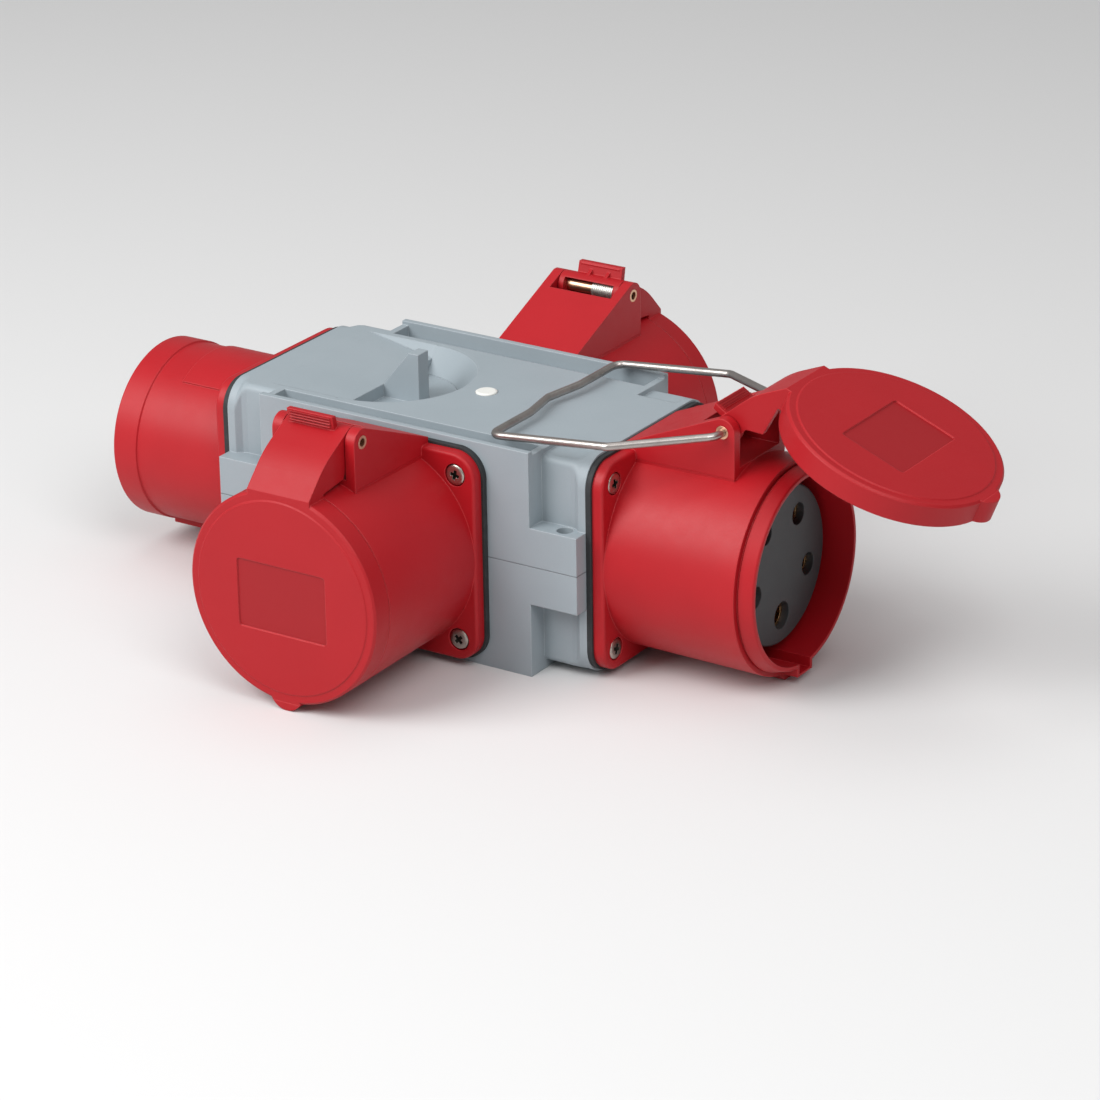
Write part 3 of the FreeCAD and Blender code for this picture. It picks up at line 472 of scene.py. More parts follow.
@dataclass(frozen=True)
class LabelField:
    """Sunk bare field on the face of a lid, smoother and darker than the rest."""

    side: Side
    opening: float
    width: float = 39.0 * MM
    height: float = 26.6 * MM
    drop: float = 1.0 * MM
    level: float = 69.5 * MM
    blur: float = 0.25 * MM
    shade: float = 0.7
    tint: float = 0.5
    shine: float = 0.07
    smooth: float = 0.6

    def mask(self, graph: Graph, place: Signal) -> Signal:
        """Marks the field.

        Args:
            graph: Graph of the lid's material.
            place: Place in the shared frame at rest.

        Returns:
            A value that is 1 inside the field.
        """
        frame = PLACES.lid(self.side, self.opening)
        links = {"Vector": place, "Location": frame.translation, "Rotation": frame.to_euler()}
        own = graph.node("ShaderNodeMapping", {"vector_type": "TEXTURE"}, links).out("Vector")
        across = abs(graph.axis(own, "Y")) - self.width / 2
        up = abs(graph.axis(own, "Z") + self.drop) - self.height / 2
        front = (graph.axis(own, "X") - self.level).ramp(0.0, self.blur)
        return (1.0 - across.ramp(-self.blur, 0.0)) * (1.0 - up.ramp(-self.blur, 0.0)) * front


@dataclass(frozen=True)
class MouldedPlastic:
    """Matt thermoplastic with a fine spark-eroded texture and a painted highlight along its
    edges.
    """

    name: str
    colour: Colour
    # The second colour is lighter and is painted along edges as a highlight; edge_tint gives its
    # share.
    edge_highlight_colour: Colour
    hollow_colour: Colour
    roughness: float = 0.46
    seam: Seam | None = None
    label: LabelField | None = None
    cloud: Mottle = Mottle(26 * MM, detail=3.0, low=0.25, high=0.75, tint=0.35)
    flow: Mottle = Mottle(6 * MM, swing=0.1)
    texture: Mottle = Mottle(0.55 * MM, detail=3.0, rough=0.62, swing=0.2)
    speck: Mottle = Mottle(0.33 * MM, detail=1.0, low=0.3, high=0.7, tint=0.2)
    edge_radius: float = 0.6 * MM
    edge_tint: float = 0.7
    edge_shine: float = 0.08
    relief: float = 0.045 * MM
    relief_share: float = 0.55
    specular: float = 0.34

    def make(self) -> bpy.types.Material:
        """Builds the material."""
        graph = Graph(self.name)
        place = graph.place()
        normal, edge = graph.edges(self.edge_radius)
        cloud = self.cloud.read(graph, place)
        flow = self.flow.read(graph, place)
        texture = self.texture.read(graph, place)
        speck = self.speck.read(graph, place)
        tint = self.cloud.tinted(cloud) + self.speck.tinted(speck)
        tone = graph.mix(tint, self.colour, self.hollow_colour)
        # Painted highlight: edges are mixed towards the lighter edge colour.
        tone = graph.mix(edge * self.edge_tint, tone, self.edge_highlight_colour)
        rough = self.roughness + self.texture.swung(texture) + self.flow.swung(flow)
        rough = rough - edge * self.edge_shine
        height = texture
        if self.seam is not None:
            gap = self.seam.mask(graph, place)
            dark = darker(self.hollow_colour, self.seam.shade)
            tone = graph.mix(gap * self.seam.tint, tone, dark)
            height = texture - gap * self.seam.depth
        if self.label is not None:
            inside = self.label.mask(graph, place)
            deep = darker(self.hollow_colour, self.label.shade)
            tone = graph.mix(inside * self.label.tint, tone, deep)
            rough = rough - inside * self.label.shine
            height = texture * (1.0 - inside * self.label.smooth)
        bent = graph.bump(height, self.relief, self.relief_share, normal)
        fixed = {"Specular IOR Level": self.specular}
        return graph.finish(fixed, {"Base Color": tone, "Roughness": rough, "Normal": bent})


@dataclass(frozen=True)
class Rubber:
    """Matt sealing rubber with a faint bloom."""

    name: str
    colour: Colour
    bloom: Colour
    roughness: float = 0.72
    dust: Mottle = Mottle(3.5 * MM, 4.0, 0.65, low=0.45, high=0.85, tint=0.5, swing=0.2)
    skin: Mottle = Mottle(0.4 * MM)
    edge_radius: float = 0.35 * MM
    edge_tint: float = 0.2
    relief: float = 0.03 * MM
    relief_share: float = 0.5

    def make(self) -> bpy.types.Material:
        """Builds the material."""
        graph = Graph(self.name)
        place = graph.place()
        normal, edge = graph.edges(self.edge_radius)
        dust = self.dust.read(graph, place)
        skin_height = self.skin.read(graph, place)
        tint = self.dust.tinted(dust) + edge * self.edge_tint
        tone = graph.mix(tint, self.colour, self.bloom)
        rough = self.roughness + self.dust.swung(dust)
        bent = graph.bump(skin_height, self.relief, self.relief_share, normal)
        return graph.finish({}, {"Base Color": tone, "Roughness": rough, "Normal": bent})


METAL_MARKS = Mottle(0.35 * MM, 2.0, 0.6, low=0.45, high=0.75, tint=0.25, swing=0.15)
METAL_PATCHES = Mottle(4.0 * MM, 4.0, 0.6, low=0.4, high=0.8, tint=0.6, swing=0.25)


@dataclass(frozen=True)
class Metal:
    """Plated, drawn or turned metal with fine marks and dull patches."""

    name: str
    colour: Colour
    dull_colour: Colour
    roughness: float
    marks: Mottle = METAL_MARKS
    patches: Mottle = METAL_PATCHES
    edge_radius: float = 0.2 * MM
    edge_polish: float = 0.2
    relief: float = 0.015 * MM
    relief_share: float = 0.5

    def make(self) -> bpy.types.Material:
        """Builds the material."""
        graph = Graph(self.name)
        place = graph.place()
        normal, edge = graph.edges(self.edge_radius)
        marks = self.marks.read(graph, place)
        patches = self.patches.read(graph, place)
        tint = self.patches.tinted(patches) + self.marks.tinted(marks) - edge * self.edge_polish
        tone = graph.mix(tint, self.colour, self.dull_colour)
        rough = self.roughness + self.patches.swung(patches) + self.marks.swung(marks)
        bent = graph.bump(marks, self.relief, self.relief_share, normal)
        fixed = {"Metallic": 1.0}
        return graph.finish(fixed, {"Base Color": tone, "Roughness": rough, "Normal": bent})


@dataclass
class Palette:
    """All finishes of the distributor, each made once."""

    made: dict[str, bpy.types.Material] = field(default_factory=dict)

    def plastics(self) -> list[MouldedPlastic]:
        """Finishes of the moulded pieces."""
        # Each plastic gives its own colour, a lighter colour painted along edges as a highlight,
        # and a darker tone.
        lids = [
            MouldedPlastic(
                f"{side.value}_lid_red",
                linear(168, 16, 26),
                linear(218, 64, 68),
                linear(160, 14, 23),
                roughness=0.48,
                label=LabelField(side, opening),
            )
            for side, opening in LIDS.items()
        ]
        return lids + [
            MouldedPlastic(
                "housing_grey",
                linear(152, 162, 168),
                linear(188, 196, 201),
                linear(140, 151, 157),
                seam=Seam(PLACES.axis_height),
            ),
            MouldedPlastic(
                "body_red",
                linear(174, 19, 29),
                linear(216, 66, 70),
                linear(158, 15, 24),
            ),
            MouldedPlastic(
                "plug_white",
                linear(228, 228, 224),
                linear(244, 244, 240),
                linear(212, 212, 206),
                roughness=0.38,
            ),
            MouldedPlastic(
                "carrier_grey",
                linear(62, 64, 66),
                linear(96, 98, 100),
                linear(50, 52, 54),
                roughness=0.4,
            ),
            MouldedPlastic(
                "terminal_cream",
                linear(206, 198, 176),
                linear(220, 214, 196),
                linear(190, 182, 160),
            ),
            MouldedPlastic(
                "lead_black",
                linear(36, 36, 38),
                linear(60, 60, 62),
                linear(28, 28, 30),
                roughness=0.35,
            ),
        ]

    def rubbers(self) -> list[Rubber]:
        """Finishes of the seals."""
        return [
            Rubber("gasket_black", linear(38, 40, 42), linear(70, 72, 74)),
            Rubber("seal_grey", linear(88, 90, 92), linear(120, 122, 124)),
        ]

    def metals(self) -> list[Metal]:
        """Finishes of the metal pieces."""
        return [
            Metal("screw_steel", linear(190, 184, 175), linear(142, 136, 128), 0.32),
            # Dark dull steel painted on the walls of the screws' cross recesses as their shade.
            Metal("recess_painted_shade", linear(74, 70, 64), linear(44, 41, 38), 0.6),
            Metal(
                "bail_steel",
                linear(180, 174, 170),
                linear(136, 130, 125),
                0.36,
                marks=replace(METAL_MARKS, grain=0.5 * MM),
                patches=replace(METAL_PATCHES, grain=9 * MM),
            ),
            Metal(
                "spring_steel",
                linear(236, 236, 230),
                linear(216, 216, 210),
                0.42,
                marks=replace(METAL_MARKS, grain=1.6 * MM),
                relief=0.004 * MM,
            ),
            Metal("pin_copper", linear(238, 192, 160), linear(206, 152, 120), 0.36),
            Metal("brass", linear(222, 176, 126), linear(176, 128, 84), 0.26),
        ]

    def build(self) -> None:
        """Makes every material."""
        for finish in (*self.plastics(), *self.rubbers(), *self.metals()):
            self.made[finish.name] = finish.make()

    def dress(self, piece: bpy.types.Object, *names: str) -> None:
        """Gives a piece its finishes, one for each material slot that it uses.

        Args:
            piece: Mesh to dress.
            names: Names of the finishes, the last of which fills any slot that is left.
        """
        slots = piece.data.materials
        while len(slots) < len(names):
            slots.append(None)
        for index in range(len(slots)):
            slots[index] = self.made[names[min(index, len(names) - 1)]]


def add_object(name: str, data: bpy.types.ID) -> bpy.types.Object:
    """Puts a new object in the scene.

    Args:
        name: Name of the object.
        data: Its mesh, curve, light or camera.

    Returns:
        The object.
    """
    thing = bpy.data.objects.new(name, data)
    bpy.context.scene.collection.objects.link(thing)
    return thing


def evaluated_mesh(thing: bpy.types.Object) -> bpy.types.Mesh:
    """Copies the final mesh of an object, with its modifiers or its bevel."""
    sight = bpy.context.evaluated_depsgraph_get()
    return bpy.data.meshes.new_from_object(thing.evaluated_get(sight))


def join_mesh(name: str, parts: Iterable[bmesh.types.BMesh]) -> bpy.types.Object:
    """Joins several meshes in one object of the scene.

    Args:
        name: Name of the object.
        parts: Meshes, which are used up.

    Returns:
        The new object.
    """
    whole = bpy.data.meshes.new(name)
    joined = bmesh.new()
    for part in parts:
        scrap = bpy.data.meshes.new("scrap")
        part.to_mesh(scrap)
        part.free()
        joined.from_mesh(scrap)
        bpy.data.meshes.remove(scrap)
    joined.to_mesh(whole)
    joined.free()
    return add_object(name, whole)


def lathe(profile: Sequence[tuple[float, float]], steps: int) -> bmesh.types.BMesh:
    """Turns a profile about local X into a closed solid.

    Args:
        profile: Points of distance along X and radius, from axis to axis.
        steps: Number of facets round.

    Returns:
        The solid.
    """
    solid = bmesh.new()
    rings: list[list[bmesh.types.BMVert]] = []
    for along, radius in profile:
        if radius == 0.0:
            rings.append([solid.verts.new((along, 0.0, 0.0))])
            continue
        ring = []
        for step in range(steps):
            angle = 2 * math.pi * step / steps
            spot = (along, radius * math.cos(angle), radius * math.sin(angle))
            ring.append(solid.verts.new(spot))
        rings.append(ring)
    for lower, upper in zip(rings, rings[1:]):
        for step in range(steps):
            following = (step + 1) % steps
            corners = [lower[step % len(lower)], lower[following % len(lower)]]
            corners += [upper[following % len(upper)], upper[step % len(upper)]]
            solid.faces.new(list(dict.fromkeys(corners)))
    bmesh.ops.recalc_face_normals(solid, faces=solid.faces)
    return solid


def skin(rings: Sequence[Sequence[Vector]]) -> bmesh.types.BMesh:
    """Closes a row of rings of points into a solid.

    Args:
        rings: Rings with the same number of points each.

    Returns:
        The solid.
    """
    solid = bmesh.new()
    rows = [[solid.verts.new(point) for point in ring] for ring in rings]
    for lower, upper in zip(rows, rows[1:]):
        for index in range(len(lower)):
            following = (index + 1) % len(lower)
            solid.faces.new((lower[index], lower[following], upper[following], upper[index]))
    for end in (rows[0], rows[-1]):
        solid.faces.new(end)
    bmesh.ops.recalc_face_normals(solid, faces=solid.faces)
    return solid


def shade_by_angle(piece: bpy.types.Object, degrees: float) -> None:
    """Smooths a mesh except where its faces meet at a larger angle.

    Args:
        piece: The mesh object.
        degrees: Angle above which an edge stays sharp.
    """
    piece.data.shade_smooth()
    piece.data.set_sharp_from_angle(angle=math.radians(degrees))


@dataclass
class CrossHeadScrews:
    """Four pan-head screws with a cross recess in one flange."""

    side: Side
    spacing: float = 65.4 * MM
    seat: float = 4.8 * MM
    head_radius: float = 4.0 * MM
    head_height: float = 2.2 * MM
    rim_share: float = 0.66
    crown_share: float = 0.62
    dome_steps: int = 7
    shank_radius: float = 1.8 * MM
    shank_length: float = 13.0 * MM
    recess_length: float = 4.9 * MM
    recess_width: float = 1.3 * MM
    recess_depth: float = 1.7 * MM
    recess_taper: float = 0.55
    first_turn: float = 17.0
    turn_step: float = 31.0
    side_turn: float = 11.0
    facets: int = 48
    sharp_angle: float = 32.0

    def head(self) -> bmesh.types.BMesh:
        """Turns the domed head with its shank."""
        end = self.seat - self.shank_length
        top = self.seat + self.head_height
        rim = self.seat + self.head_height * self.rim_share
        profile = [
            (end, 0.0),
            (end, self.shank_radius),
            (self.seat, self.shank_radius),
            (self.seat, self.head_radius),
            (rim, self.head_radius),
        ]
        for step in range(1, self.dome_steps):
            angle = math.pi / 2 * step / self.dome_steps
            along = rim + (top - rim) * math.sin(angle)
            share = self.crown_share + (1.0 - self.crown_share) * math.cos(angle)
            profile.append((along, self.head_radius * share))
        profile.append((top, 0.0))
        return lathe(profile, self.facets)

    def cutter(self) -> bpy.types.Object:
        """Makes the cross that is cut out of a head."""
        top = self.seat + self.head_height
        bars = []
        for turn in (0.0, 90.0):
            bar = bmesh.new()
            bmesh.ops.create_cube(bar, size=1.0)
            for vertex in bar.verts:
                deep = vertex.co.x < 0.0
                vertex.co.x = top + (-self.recess_depth if deep else self.recess_depth)
                vertex.co.y *= self.recess_length * (self.recess_taper if deep else 1.0)
                vertex.co.z *= self.recess_width
            spin = Matrix.Rotation(math.radians(turn), 3, "X")
            bmesh.ops.rotate(bar, verts=bar.verts, matrix=spin)
            bars.append(bar)
        return join_mesh(f"{self.side.value}_recess_cutter", bars)

    def pattern(self, palette: Palette) -> bpy.types.Mesh:
        """Cuts the cross out of one screw, whose recess walls get dark steel painted as their
        shade.

        Args:
            palette: Finishes.

        Returns:
            The screw in the device's own frame, on the device's axis.
        """
        cross = self.cutter()
        blank = join_mesh(f"{self.side.value}_screw_blank", [self.head()])
        palette.dress(cross, "recess_painted_shade")
        palette.dress(blank, "screw_steel")
        cut = blank.modifiers.new("recess", "BOOLEAN")
        cut.operation = "DIFFERENCE"
        cut.solver = "EXACT"
        # The recess walls take the cutter's dark steel, painted shade in the cross.
        cut.material_mode = "TRANSFER"
        cut.object = cross
        cut.use_self = True
        made = evaluated_mesh(blank)
        for scrap in (blank, cross):
            bpy.data.objects.remove(scrap)
        return made

    def build(self, palette: Palette) -> bpy.types.Object:
        """Makes the four screws in place of their plain solids.

        Args:
            palette: Finishes.

        Returns:
            The joined screws.
        """
        made = self.pattern(palette)
        device = PLACES.device(self.side)
        half = self.spacing / 2
        parts = []
        for number, (across, up) in enumerate(product((-half, half), repeat=2)):
            screw = bmesh.new()
            screw.from_mesh(made)
            turn = self.first_turn + self.turn_step * number
            turn += self.side_turn * len(self.side.value)
            spin = Matrix.Rotation(math.radians(turn), 4, "X")
            screw.transform(device @ Matrix.Translation((0.0, across, up)) @ spin)
            parts.append(screw)
        screws = join_mesh(f"{self.side.value}_crosshead_screws", parts)
        shade_by_angle(screws, self.sharp_angle)
        # The second slot holds the dark steel painted as shade in the recesses.
        palette.dress(screws, "screw_steel", "recess_painted_shade")
        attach(screws, BASE_BODY)
        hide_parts(f"{self.side.value}_screws")
        return screws


@dataclass
class ClosingSpring:
    """Close-wound torsion spring on a hinge pin, with its leg in the tower's hollow."""

    side: Side
    opening: float
    wire: float = 0.9 * MM
    wire_facets: int = 3
    mean_radius: float = 3.05 * MM
    length: float = 10.8 * MM
    turns: int = 11
    steps: int = 20
    leg: float = 15.8 * MM
    leg_slope: float = 45.0
    tip_back: float = 0.9 * MM
    tip_shift: float = 0.35 * MM
    tip_lean: float = 0.1 * MM
    tip_bend: float = 0.5 * MM
    tip_knee: float = 0.6
    tip_rise: float = 1.9 * MM
    sharp_angle: float = 50.0

    def tube(self, name: str, points: Sequence[Vector], place: Matrix) -> bpy.types.Object:
        """Makes round wire through the points.

        Args:
            name: Name of the piece.
            points: Middle line of the wire.
            place: Frame of the points.

        Returns:
            The wire as a mesh.
        """
        line = bpy.data.curves.new(name, "CURVE")
        line.dimensions = "3D"
        line.bevel_depth = self.wire / 2
        line.bevel_resolution = self.wire_facets
        line.use_fill_caps = True
        spline = line.splines.new("POLY")
        spline.points.add(len(points) - 1)
        for entry, point in zip(spline.points, points):
            entry.co = (*(place @ point), 1.0)
        guide = add_object(f"{name}_line", line)
        mesh = evaluated_mesh(guide)
        bpy.data.objects.remove(guide)
        wire = add_object(name, mesh)
        shade_by_angle(wire, self.sharp_angle)
        return wire

    def coil(self) -> list[Vector]:
        """Gives the middle line of the coil and its leg, from the hinge axis."""
        points: list[Vector] = []
        count = self.turns * self.steps
        travel = self.length - self.wire
        slope = math.radians(self.leg_slope)
        for step in range(count + 1):
            angle = slope - math.pi / 2 - 2 * math.pi * step / self.steps
            along = -self.wire / 2 - travel * step / count
            out = Vector((math.cos(angle), 0.0, math.sin(angle)))
            points.append(out * self.mean_radius + Vector((0.0, along, 0.0)))
        outwards = Vector((-math.cos(slope), 0.0, -math.sin(slope)))
        points.append(points[-1] + outwards * self.leg)
        return points

    def tip(self) -> list[Vector]:
        """Gives the middle line of the tip, from the hinge axis."""
        root = Vector((-self.tip_back, self.tip_shift, self.mean_radius))
        knee = root + Vector((self.tip_lean, self.tip_lean, self.tip_rise * self.tip_knee))
        end = root + Vector((self.tip_bend, self.tip_lean, self.tip_rise))
        return [root, knee, end]

    def build(self, palette: Palette) -> list[bpy.types.Object]:
        """Makes the coil, and the tip that is hooked into the lid.

        Args:
            palette: Finishes.

        Returns:
            The coil and the tip.
        """
        name = f"{self.side.value}_closing_spring"
        wound = self.tube(name, self.coil(), PLACES.hinge(self.side))
        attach(wound, BASE_BODY)
        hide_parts(f"{self.side.value}_lid_spring")
        name = f"{self.side.value}_spring_tip"
        hook = self.tube(name, self.tip(), PLACES.hinge(self.side, self.opening))
        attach(hook, f"{self.side.value}_lid_body")
        for piece in (wound, hook):
            palette.dress(piece, "spring_steel")
        return [wound, hook]


@dataclass
class LidNose:
    """Rounded nose at the foot of a lid, closed round the space for the keyway's lug."""

    side: Side
    opening: float
    back: float = 61.9 * MM
    face: float = 70.93 * MM
    radius: float = 7.2 * MM
    reach: float = 44.1 * MM
    root: float = 40.0 * MM
    lug_half: float = 5.75 * MM
    lug_rim: float = 40.3 * MM
    lug_reach: float = 40.9 * MM
    steps: int = 28
    sharp_angle: float = 30.0

    def outline(self) -> list[tuple[float, float]]:
        """Gives the nose's outline across and down from the socket's axis."""
        middle = self.reach - self.radius
        start = math.asin((self.root - middle) / self.radius)
        points = [(-self.lug_half, self.lug_rim), (-self.lug_half, self.lug_reach)]
        points += [(-across, down) for across, down in reversed(points)]
        for step in range(self.steps + 1):
            angle = start + (math.pi - 2 * start) * step / self.steps
            points.append((self.radius * math.cos(angle), middle + self.radius * math.sin(angle)))
        return points

    def build(self, palette: Palette) -> bpy.types.Object:
        """Makes the nose on its lid.

        Args:
            palette: Finishes.

        Returns:
            The nose.
        """
        outline = self.outline()
        rings = [
            [Vector((along, across, -down)) for across, down in outline]
            for along in (self.back, self.face)
        ]
        solid = skin(rings)
        solid.transform(PLACES.lid(self.side, self.opening))
        nose = join_mesh(f"{self.side.value}_lid_nose", [solid])
        shade_by_angle(nose, self.sharp_angle)
        palette.dress(nose, f"{self.side.value}_lid_red")
        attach(nose, f"{self.side.value}_lid_body")
        return nose


@dataclass
class TowerFoot:
    """Fillings that bring the side walls of a hinge tower down to the round socket body."""

    side: Side
    start: float = 4.6 * MM
    end: float = 48.46 * MM
    outer: float = 18.07 * MM
    inner: float = 16.3 * MM
    bottom: float = 35.4 * MM
    top: float = 38.6 * MM

    def build(self, palette: Palette) -> bpy.types.Object:
        """Makes a filling under each side wall.

        Args:
            palette: Finishes.

        Returns:
            The joined fillings.
        """
        section = (
            (self.outer, self.bottom),
            (self.outer, self.top),
            (self.inner, self.top),
            (self.inner, self.bottom),
        )
        strips = []
        for hand in (-1, 1):
            rings = [
                [Vector((along, hand * across, up)) for across, up in section]
                for along in (self.start, self.end)
            ]
            strip = skin(rings)
            strip.transform(PLACES.device(self.side))
            strips.append(strip)
        foot = join_mesh(f"{self.side.value}_tower_foot", strips)
        palette.dress(foot, "body_red")
        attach(foot, BASE_BODY)
        return foot


@dataclass
class RecessRim:
    """Leaning wall and chamfered rim of the channel in the top plate, over its plain recess."""

    plate_height: float = 87.0 * MM
    ramp_start: float = -67.0 * MM
    ramp_end: float = -35.0 * MM
    ramp_drop: float = 4.2 * MM
    first_share: float = 0.004
    half_width: float = 33.0 * MM
    half_length: float = 34.5 * MM
    recess_radius: float = 34.6 * MM
    floor_radius: float = 26.5 * MM
    depth: float = 9.3 * MM
    chamfer_width: float = 1.3 * MM
    chamfer_depth: float = 1.5 * MM
    wall_lean: float = 6.4 * MM
    bedding: float = 0.3 * MM
    sink: float = 0.03 * MM
    steps: int = 48
    sharp_angle: float = 25.0

    def face(self, depth: float) -> list[tuple[float, float]]:
        """Gives the wall's profile at a place where the channel has that depth.

        Args:
            depth: Depth of the channel under the plate.

        Returns:
            Distance in from the rim and depth of the rim, the chamfer's foot and the wall's foot.
        """
        chamfer = min(depth, self.chamfer_depth)
        slant = self.chamfer_width * chamfer / self.chamfer_depth
        wall = self.wall_lean * (depth - chamfer) / (self.depth - self.chamfer_depth)
        return [(0.0, 0.0), (slant, chamfer), (slant + wall, depth)]

    def level(self, depth: float) -> float:
        """Height of a point under the plate, a hair below the plate's own face."""
        return self.plate_height - depth - self.sink

    def straight(self, hand: int) -> list[list[Vector]]:
        """Gives the sections beside the ramp.

        Args:
            hand: 1 for the rear wall and -1 for the front wall.

        Returns:
            Rings of points from the ramp's start to its end.
        """
        rings = []
        back = hand * (self.half_width + self.bedding)
        for share in (self.first_share, self.chamfer_depth / self.ramp_drop, 1.0):
            along = self.ramp_start + (self.ramp_end - self.ramp_start) * share
            depth = self.ramp_drop * share
            ring = []
            for inward, down in self.face(depth):
                across = hand * (self.half_width - inward)
                ring.append(Vector((along, across, self.level(down))))
            ring += [Vector((along, back, self.level(down))) for down in (depth, 0.0)]
            rings.append(ring)
        return rings

    def bend(self) -> list[list[Vector]]:
        """Gives the sections round the channel's end."""
        rings = []
        for step in range(self.steps + 1):
            angle = math.pi * step / self.steps - math.pi / 2
            ring = []
            for inward, down in self.face(self.depth):
                along = self.ramp_end + (self.half_length - inward) * math.cos(angle)
                across = (self.half_width - inward) * math.sin(angle)
                ring.append(Vector((along, across, self.level(down))))
            for radius, down in ((self.floor_radius, self.depth), (self.recess_radius, 0.0)):
                reach = radius + self.bedding
                along = self.ramp_end + reach * math.cos(angle)
                ring.append(Vector((along, reach * math.sin(angle), self.level(down))))
            rings.append(ring)
        return rings

    def build(self, palette: Palette) -> bpy.types.Object:
        """Makes the wall on both sides of the ramp and round the end.

        Args:
            palette: Finishes.

        Returns:
            The wall.
        """
        strips = [skin(rings) for rings in (self.straight(1), self.straight(-1), self.bend())]
        wall = join_mesh("recess_rim", strips)
        shade_by_angle(wall, self.sharp_angle)
        palette.dress(wall, "housing_grey")
        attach(wall, BASE_BODY)
        return wall


class Unit(ABC):
    """A part of the distributor, with finer pieces to build and solids to dress."""

    @abstractmethod
    def finishes(self) -> Mapping[str, str]:
        """Names the finish of each of the unit's solids."""

    def build(self, palette: Palette) -> list[bpy.types.Object]:
        """Makes the unit's finer pieces, of which a plain unit has none.

        Args:
            palette: Finishes.

        Returns:
            The pieces.
        """
        return []

    def complete(self, nodes: Mapping[str, bpy.types.Object], palette: Palette) -> None:
        """Makes the finer pieces and dresses the solids.

        Args:
            nodes: Solids by name.
            palette: Finishes.
        """
        for piece in self.build(palette):
            LOG.info("built %s", piece.name)
        for node, finish in self.finishes().items():
            palette.dress(nodes[node], finish)
            LOG.info("dressed %s", node)


class Housing(Unit):
    """Two grey half shells with their screws, plug and terminal block."""

    def finishes(self) -> Mapping[str, str]:
        """Names the finish of each solid of the box."""
        return {
            "upper_housing": "housing_grey",
            "lower_housing": "housing_grey",
            "breather_plug": "plug_white",
            "housing_screws": "screw_steel",
            "terminal_block": "terminal_cream",
        }

    def build(self, palette: Palette) -> list[bpy.types.Object]:
        """Makes the rim of the channel in the top plate."""
        return [RecessRim().build(palette)]


class Inlet(Unit):
    """Red male inlet on the left end."""

    def finishes(self) -> Mapping[str, str]:
        """Names the finish of each solid of the inlet."""
        return {
            "inlet_shroud": "body_red",
            "inlet_gasket": "gasket_black",
            "inlet_pin_carrier": "carrier_grey",
            "inlet_contact_pins": "brass",
            "inlet_leads": "lead_black",
        }

    def build(self, palette: Palette) -> list[bpy.types.Object]:
        """Makes the inlet's screws."""
        return [CrossHeadScrews(Side.INLET).build(palette)]


@dataclass
class LiddedSocket(Unit):
    """Red socket with a sprung lid on one face of the box."""

    side: Side
    opening: float

    def finishes(self) -> Mapping[str, str]:
        """Names the finish of each solid of the socket and its lid."""
        finishes = {
            "socket_body": "body_red",
            "gasket": "gasket_black",
            "contact_carrier": "carrier_grey",
            "contact_sleeves": "brass",
            "hinge_pin": "pin_copper",
            "leads": "lead_black",
            "lid_seal": "seal_grey",
            "lid": f"{self.side.value}_lid_red",
        }
        return {f"{self.side.value}_{part}": finish for part, finish in finishes.items()}

    def build(self, palette: Palette) -> list[bpy.types.Object]:
        """Makes the socket's screws, its spring, the nose of its lid and the tower's foot."""
        return [
            CrossHeadScrews(self.side).build(palette),
            *ClosingSpring(self.side, self.opening).build(palette),
            LidNose(self.side, self.opening).build(palette),
            TowerFoot(self.side).build(palette),
        ]


class Bail(Unit):
    """Steel wire bail in the hinge pin of the right socket."""

    def finishes(self) -> Mapping[str, str]:
        """Names the finish of the wire."""
        return {"wire_bail": "bail_steel"}


@dataclass(frozen=True)
class Softbox:
    """Soft square light that looks at the box.

    Attributes:
        name: Name of the light.
        spot: Its place in metres.
        size: Length of its sides in metres.
        power: Its power in watts.
        aim: Place that it looks at.
    """

    name: str
    spot: tuple[float, float, float]
    size: float
    power: float
    aim: tuple[float, float, float] = (30.0 * MM, 0.0, PLACES.axis_height)

    def hang(self) -> None:
        """Hangs the light."""
        light = bpy.data.lights.new(self.name, "AREA")
        light.shape = "SQUARE"
        light.size = self.size
        light.energy = self.power
        thing = add_object(self.name, light)
        thing.location = self.spot
        sight = Vector(self.aim) - Vector(self.spot)
        thing.rotation_euler = sight.to_track_quat("-Z", "Y").to_euler()


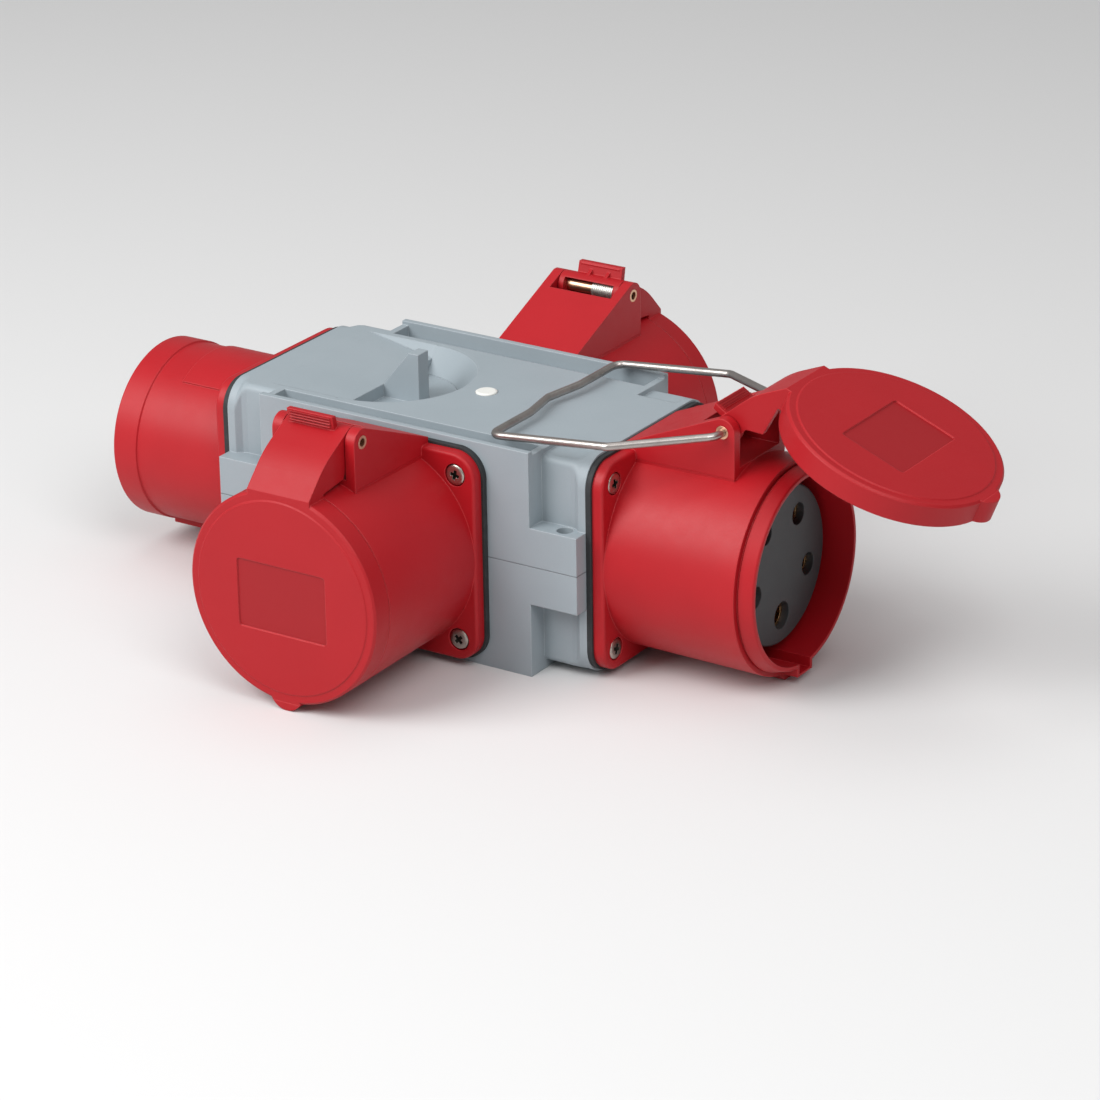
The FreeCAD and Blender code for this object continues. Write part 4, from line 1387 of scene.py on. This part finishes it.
@dataclass
class Studio:
    """Pale floor, soft light and the camera at the photograph's angle."""

    azimuth: float = 33.251
    elevation: float = 22.613
    roll: float = -0.934
    focal_pixels: float = 4397.0
    picture_pixels: float = 1100.0
    sensor: float = 36.0
    distance: float = 1674.6 * MM
    aim_right: float = 31.64 * MM
    aim_up: float = -21.82 * MM
    sight_end: float = 50.0
    floor_size: float = 8.0
    floor_colour: Colour = (0.70, 0.70, 0.70)
    floor_roughness: float = 0.9
    floor_specular: float = 0.1
    surround_colour: Colour = (1.0, 1.0, 1.0)
    surround_strength: float = 0.34
    lights: tuple[Softbox, ...] = (
        Softbox("overhead_softbox", (0.0, 0.15, 1.5), size=1.2, power=4.0),
        Softbox("front_softbox", (-0.7, -1.25, 1.2), size=1.2, power=31.0),
        Softbox("right_softbox", (0.95, -0.7, 1.3), size=0.9, power=11.0),
    )

    def camera(self) -> None:
        """Sets the camera where the photograph was taken from."""
        azimuth = math.radians(self.azimuth)
        elevation = math.radians(self.elevation)
        roll = math.radians(self.roll)
        level = Vector((math.cos(azimuth), math.sin(azimuth), 0.0))
        away = Vector((math.sin(azimuth), -math.cos(azimuth), 0.0))
        back = away * math.cos(elevation) + Vector((0.0, 0.0, math.sin(elevation)))
        upright = back.cross(level)
        right = math.cos(roll) * level + math.sin(roll) * upright
        up = math.cos(roll) * upright - math.sin(roll) * level
        spot = back * self.distance + right * self.aim_right + up * self.aim_up
        spot.z += PLACES.axis_height
        lens = bpy.data.cameras.new("photo_camera")
        lens.sensor_width = self.sensor
        lens.sensor_fit = "HORIZONTAL"
        lens.lens = self.focal_pixels / self.picture_pixels * self.sensor
        lens.clip_end = self.sight_end
        view = add_object("photo_camera", lens)
        turn = Matrix((right, up, back)).transposed().to_4x4()
        view.matrix_world = Matrix.Translation(spot) @ turn
        bpy.context.scene.camera = view

    def floor(self) -> None:
        """Lays a plain pale floor under the box."""
        graph = Graph("studio_floor")
        fixed = {
            "Base Color": (*self.floor_colour, 1.0),
            "Roughness": self.floor_roughness,
            "Specular IOR Level": self.floor_specular,
        }
        plane = bmesh.new()
        bmesh.ops.create_grid(plane, x_segments=1, y_segments=1, size=self.floor_size / 2)
        ground = join_mesh("studio_floor", [plane])
        ground.data.materials.append(graph.finish(fixed, {}))

    def light(self) -> None:
        """Hangs the lights and sets the surroundings."""
        for softbox in self.lights:
            softbox.hang()
        world = bpy.data.worlds.new("studio")
        world.use_nodes = True
        entries = world.node_tree.nodes["Background"].inputs
        entries["Color"].default_value = (*self.surround_colour, 1.0)
        entries["Strength"].default_value = self.surround_strength
        bpy.context.scene.world = world
        bpy.context.scene.view_settings.view_transform = "Standard"

    def build(self) -> None:
        """Sets up the whole stage."""
        self.camera()
        self.floor()
        self.light()


def main() -> None:
    """Loads the solids, dresses them and builds the finer pieces."""
    logging.basicConfig(level=logging.INFO, format="%(message)s")
    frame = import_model()
    nodes = frame["nodes"]
    palette = Palette()
    palette.build()
    Studio().build()
    sockets = [LiddedSocket(side, opening) for side, opening in LIDS.items()]
    units: list[Unit] = [Housing(), Inlet(), *sockets, Bail()]
    for unit in units:
        unit.complete(nodes, palette)


if __name__ == "__main__":
    main()
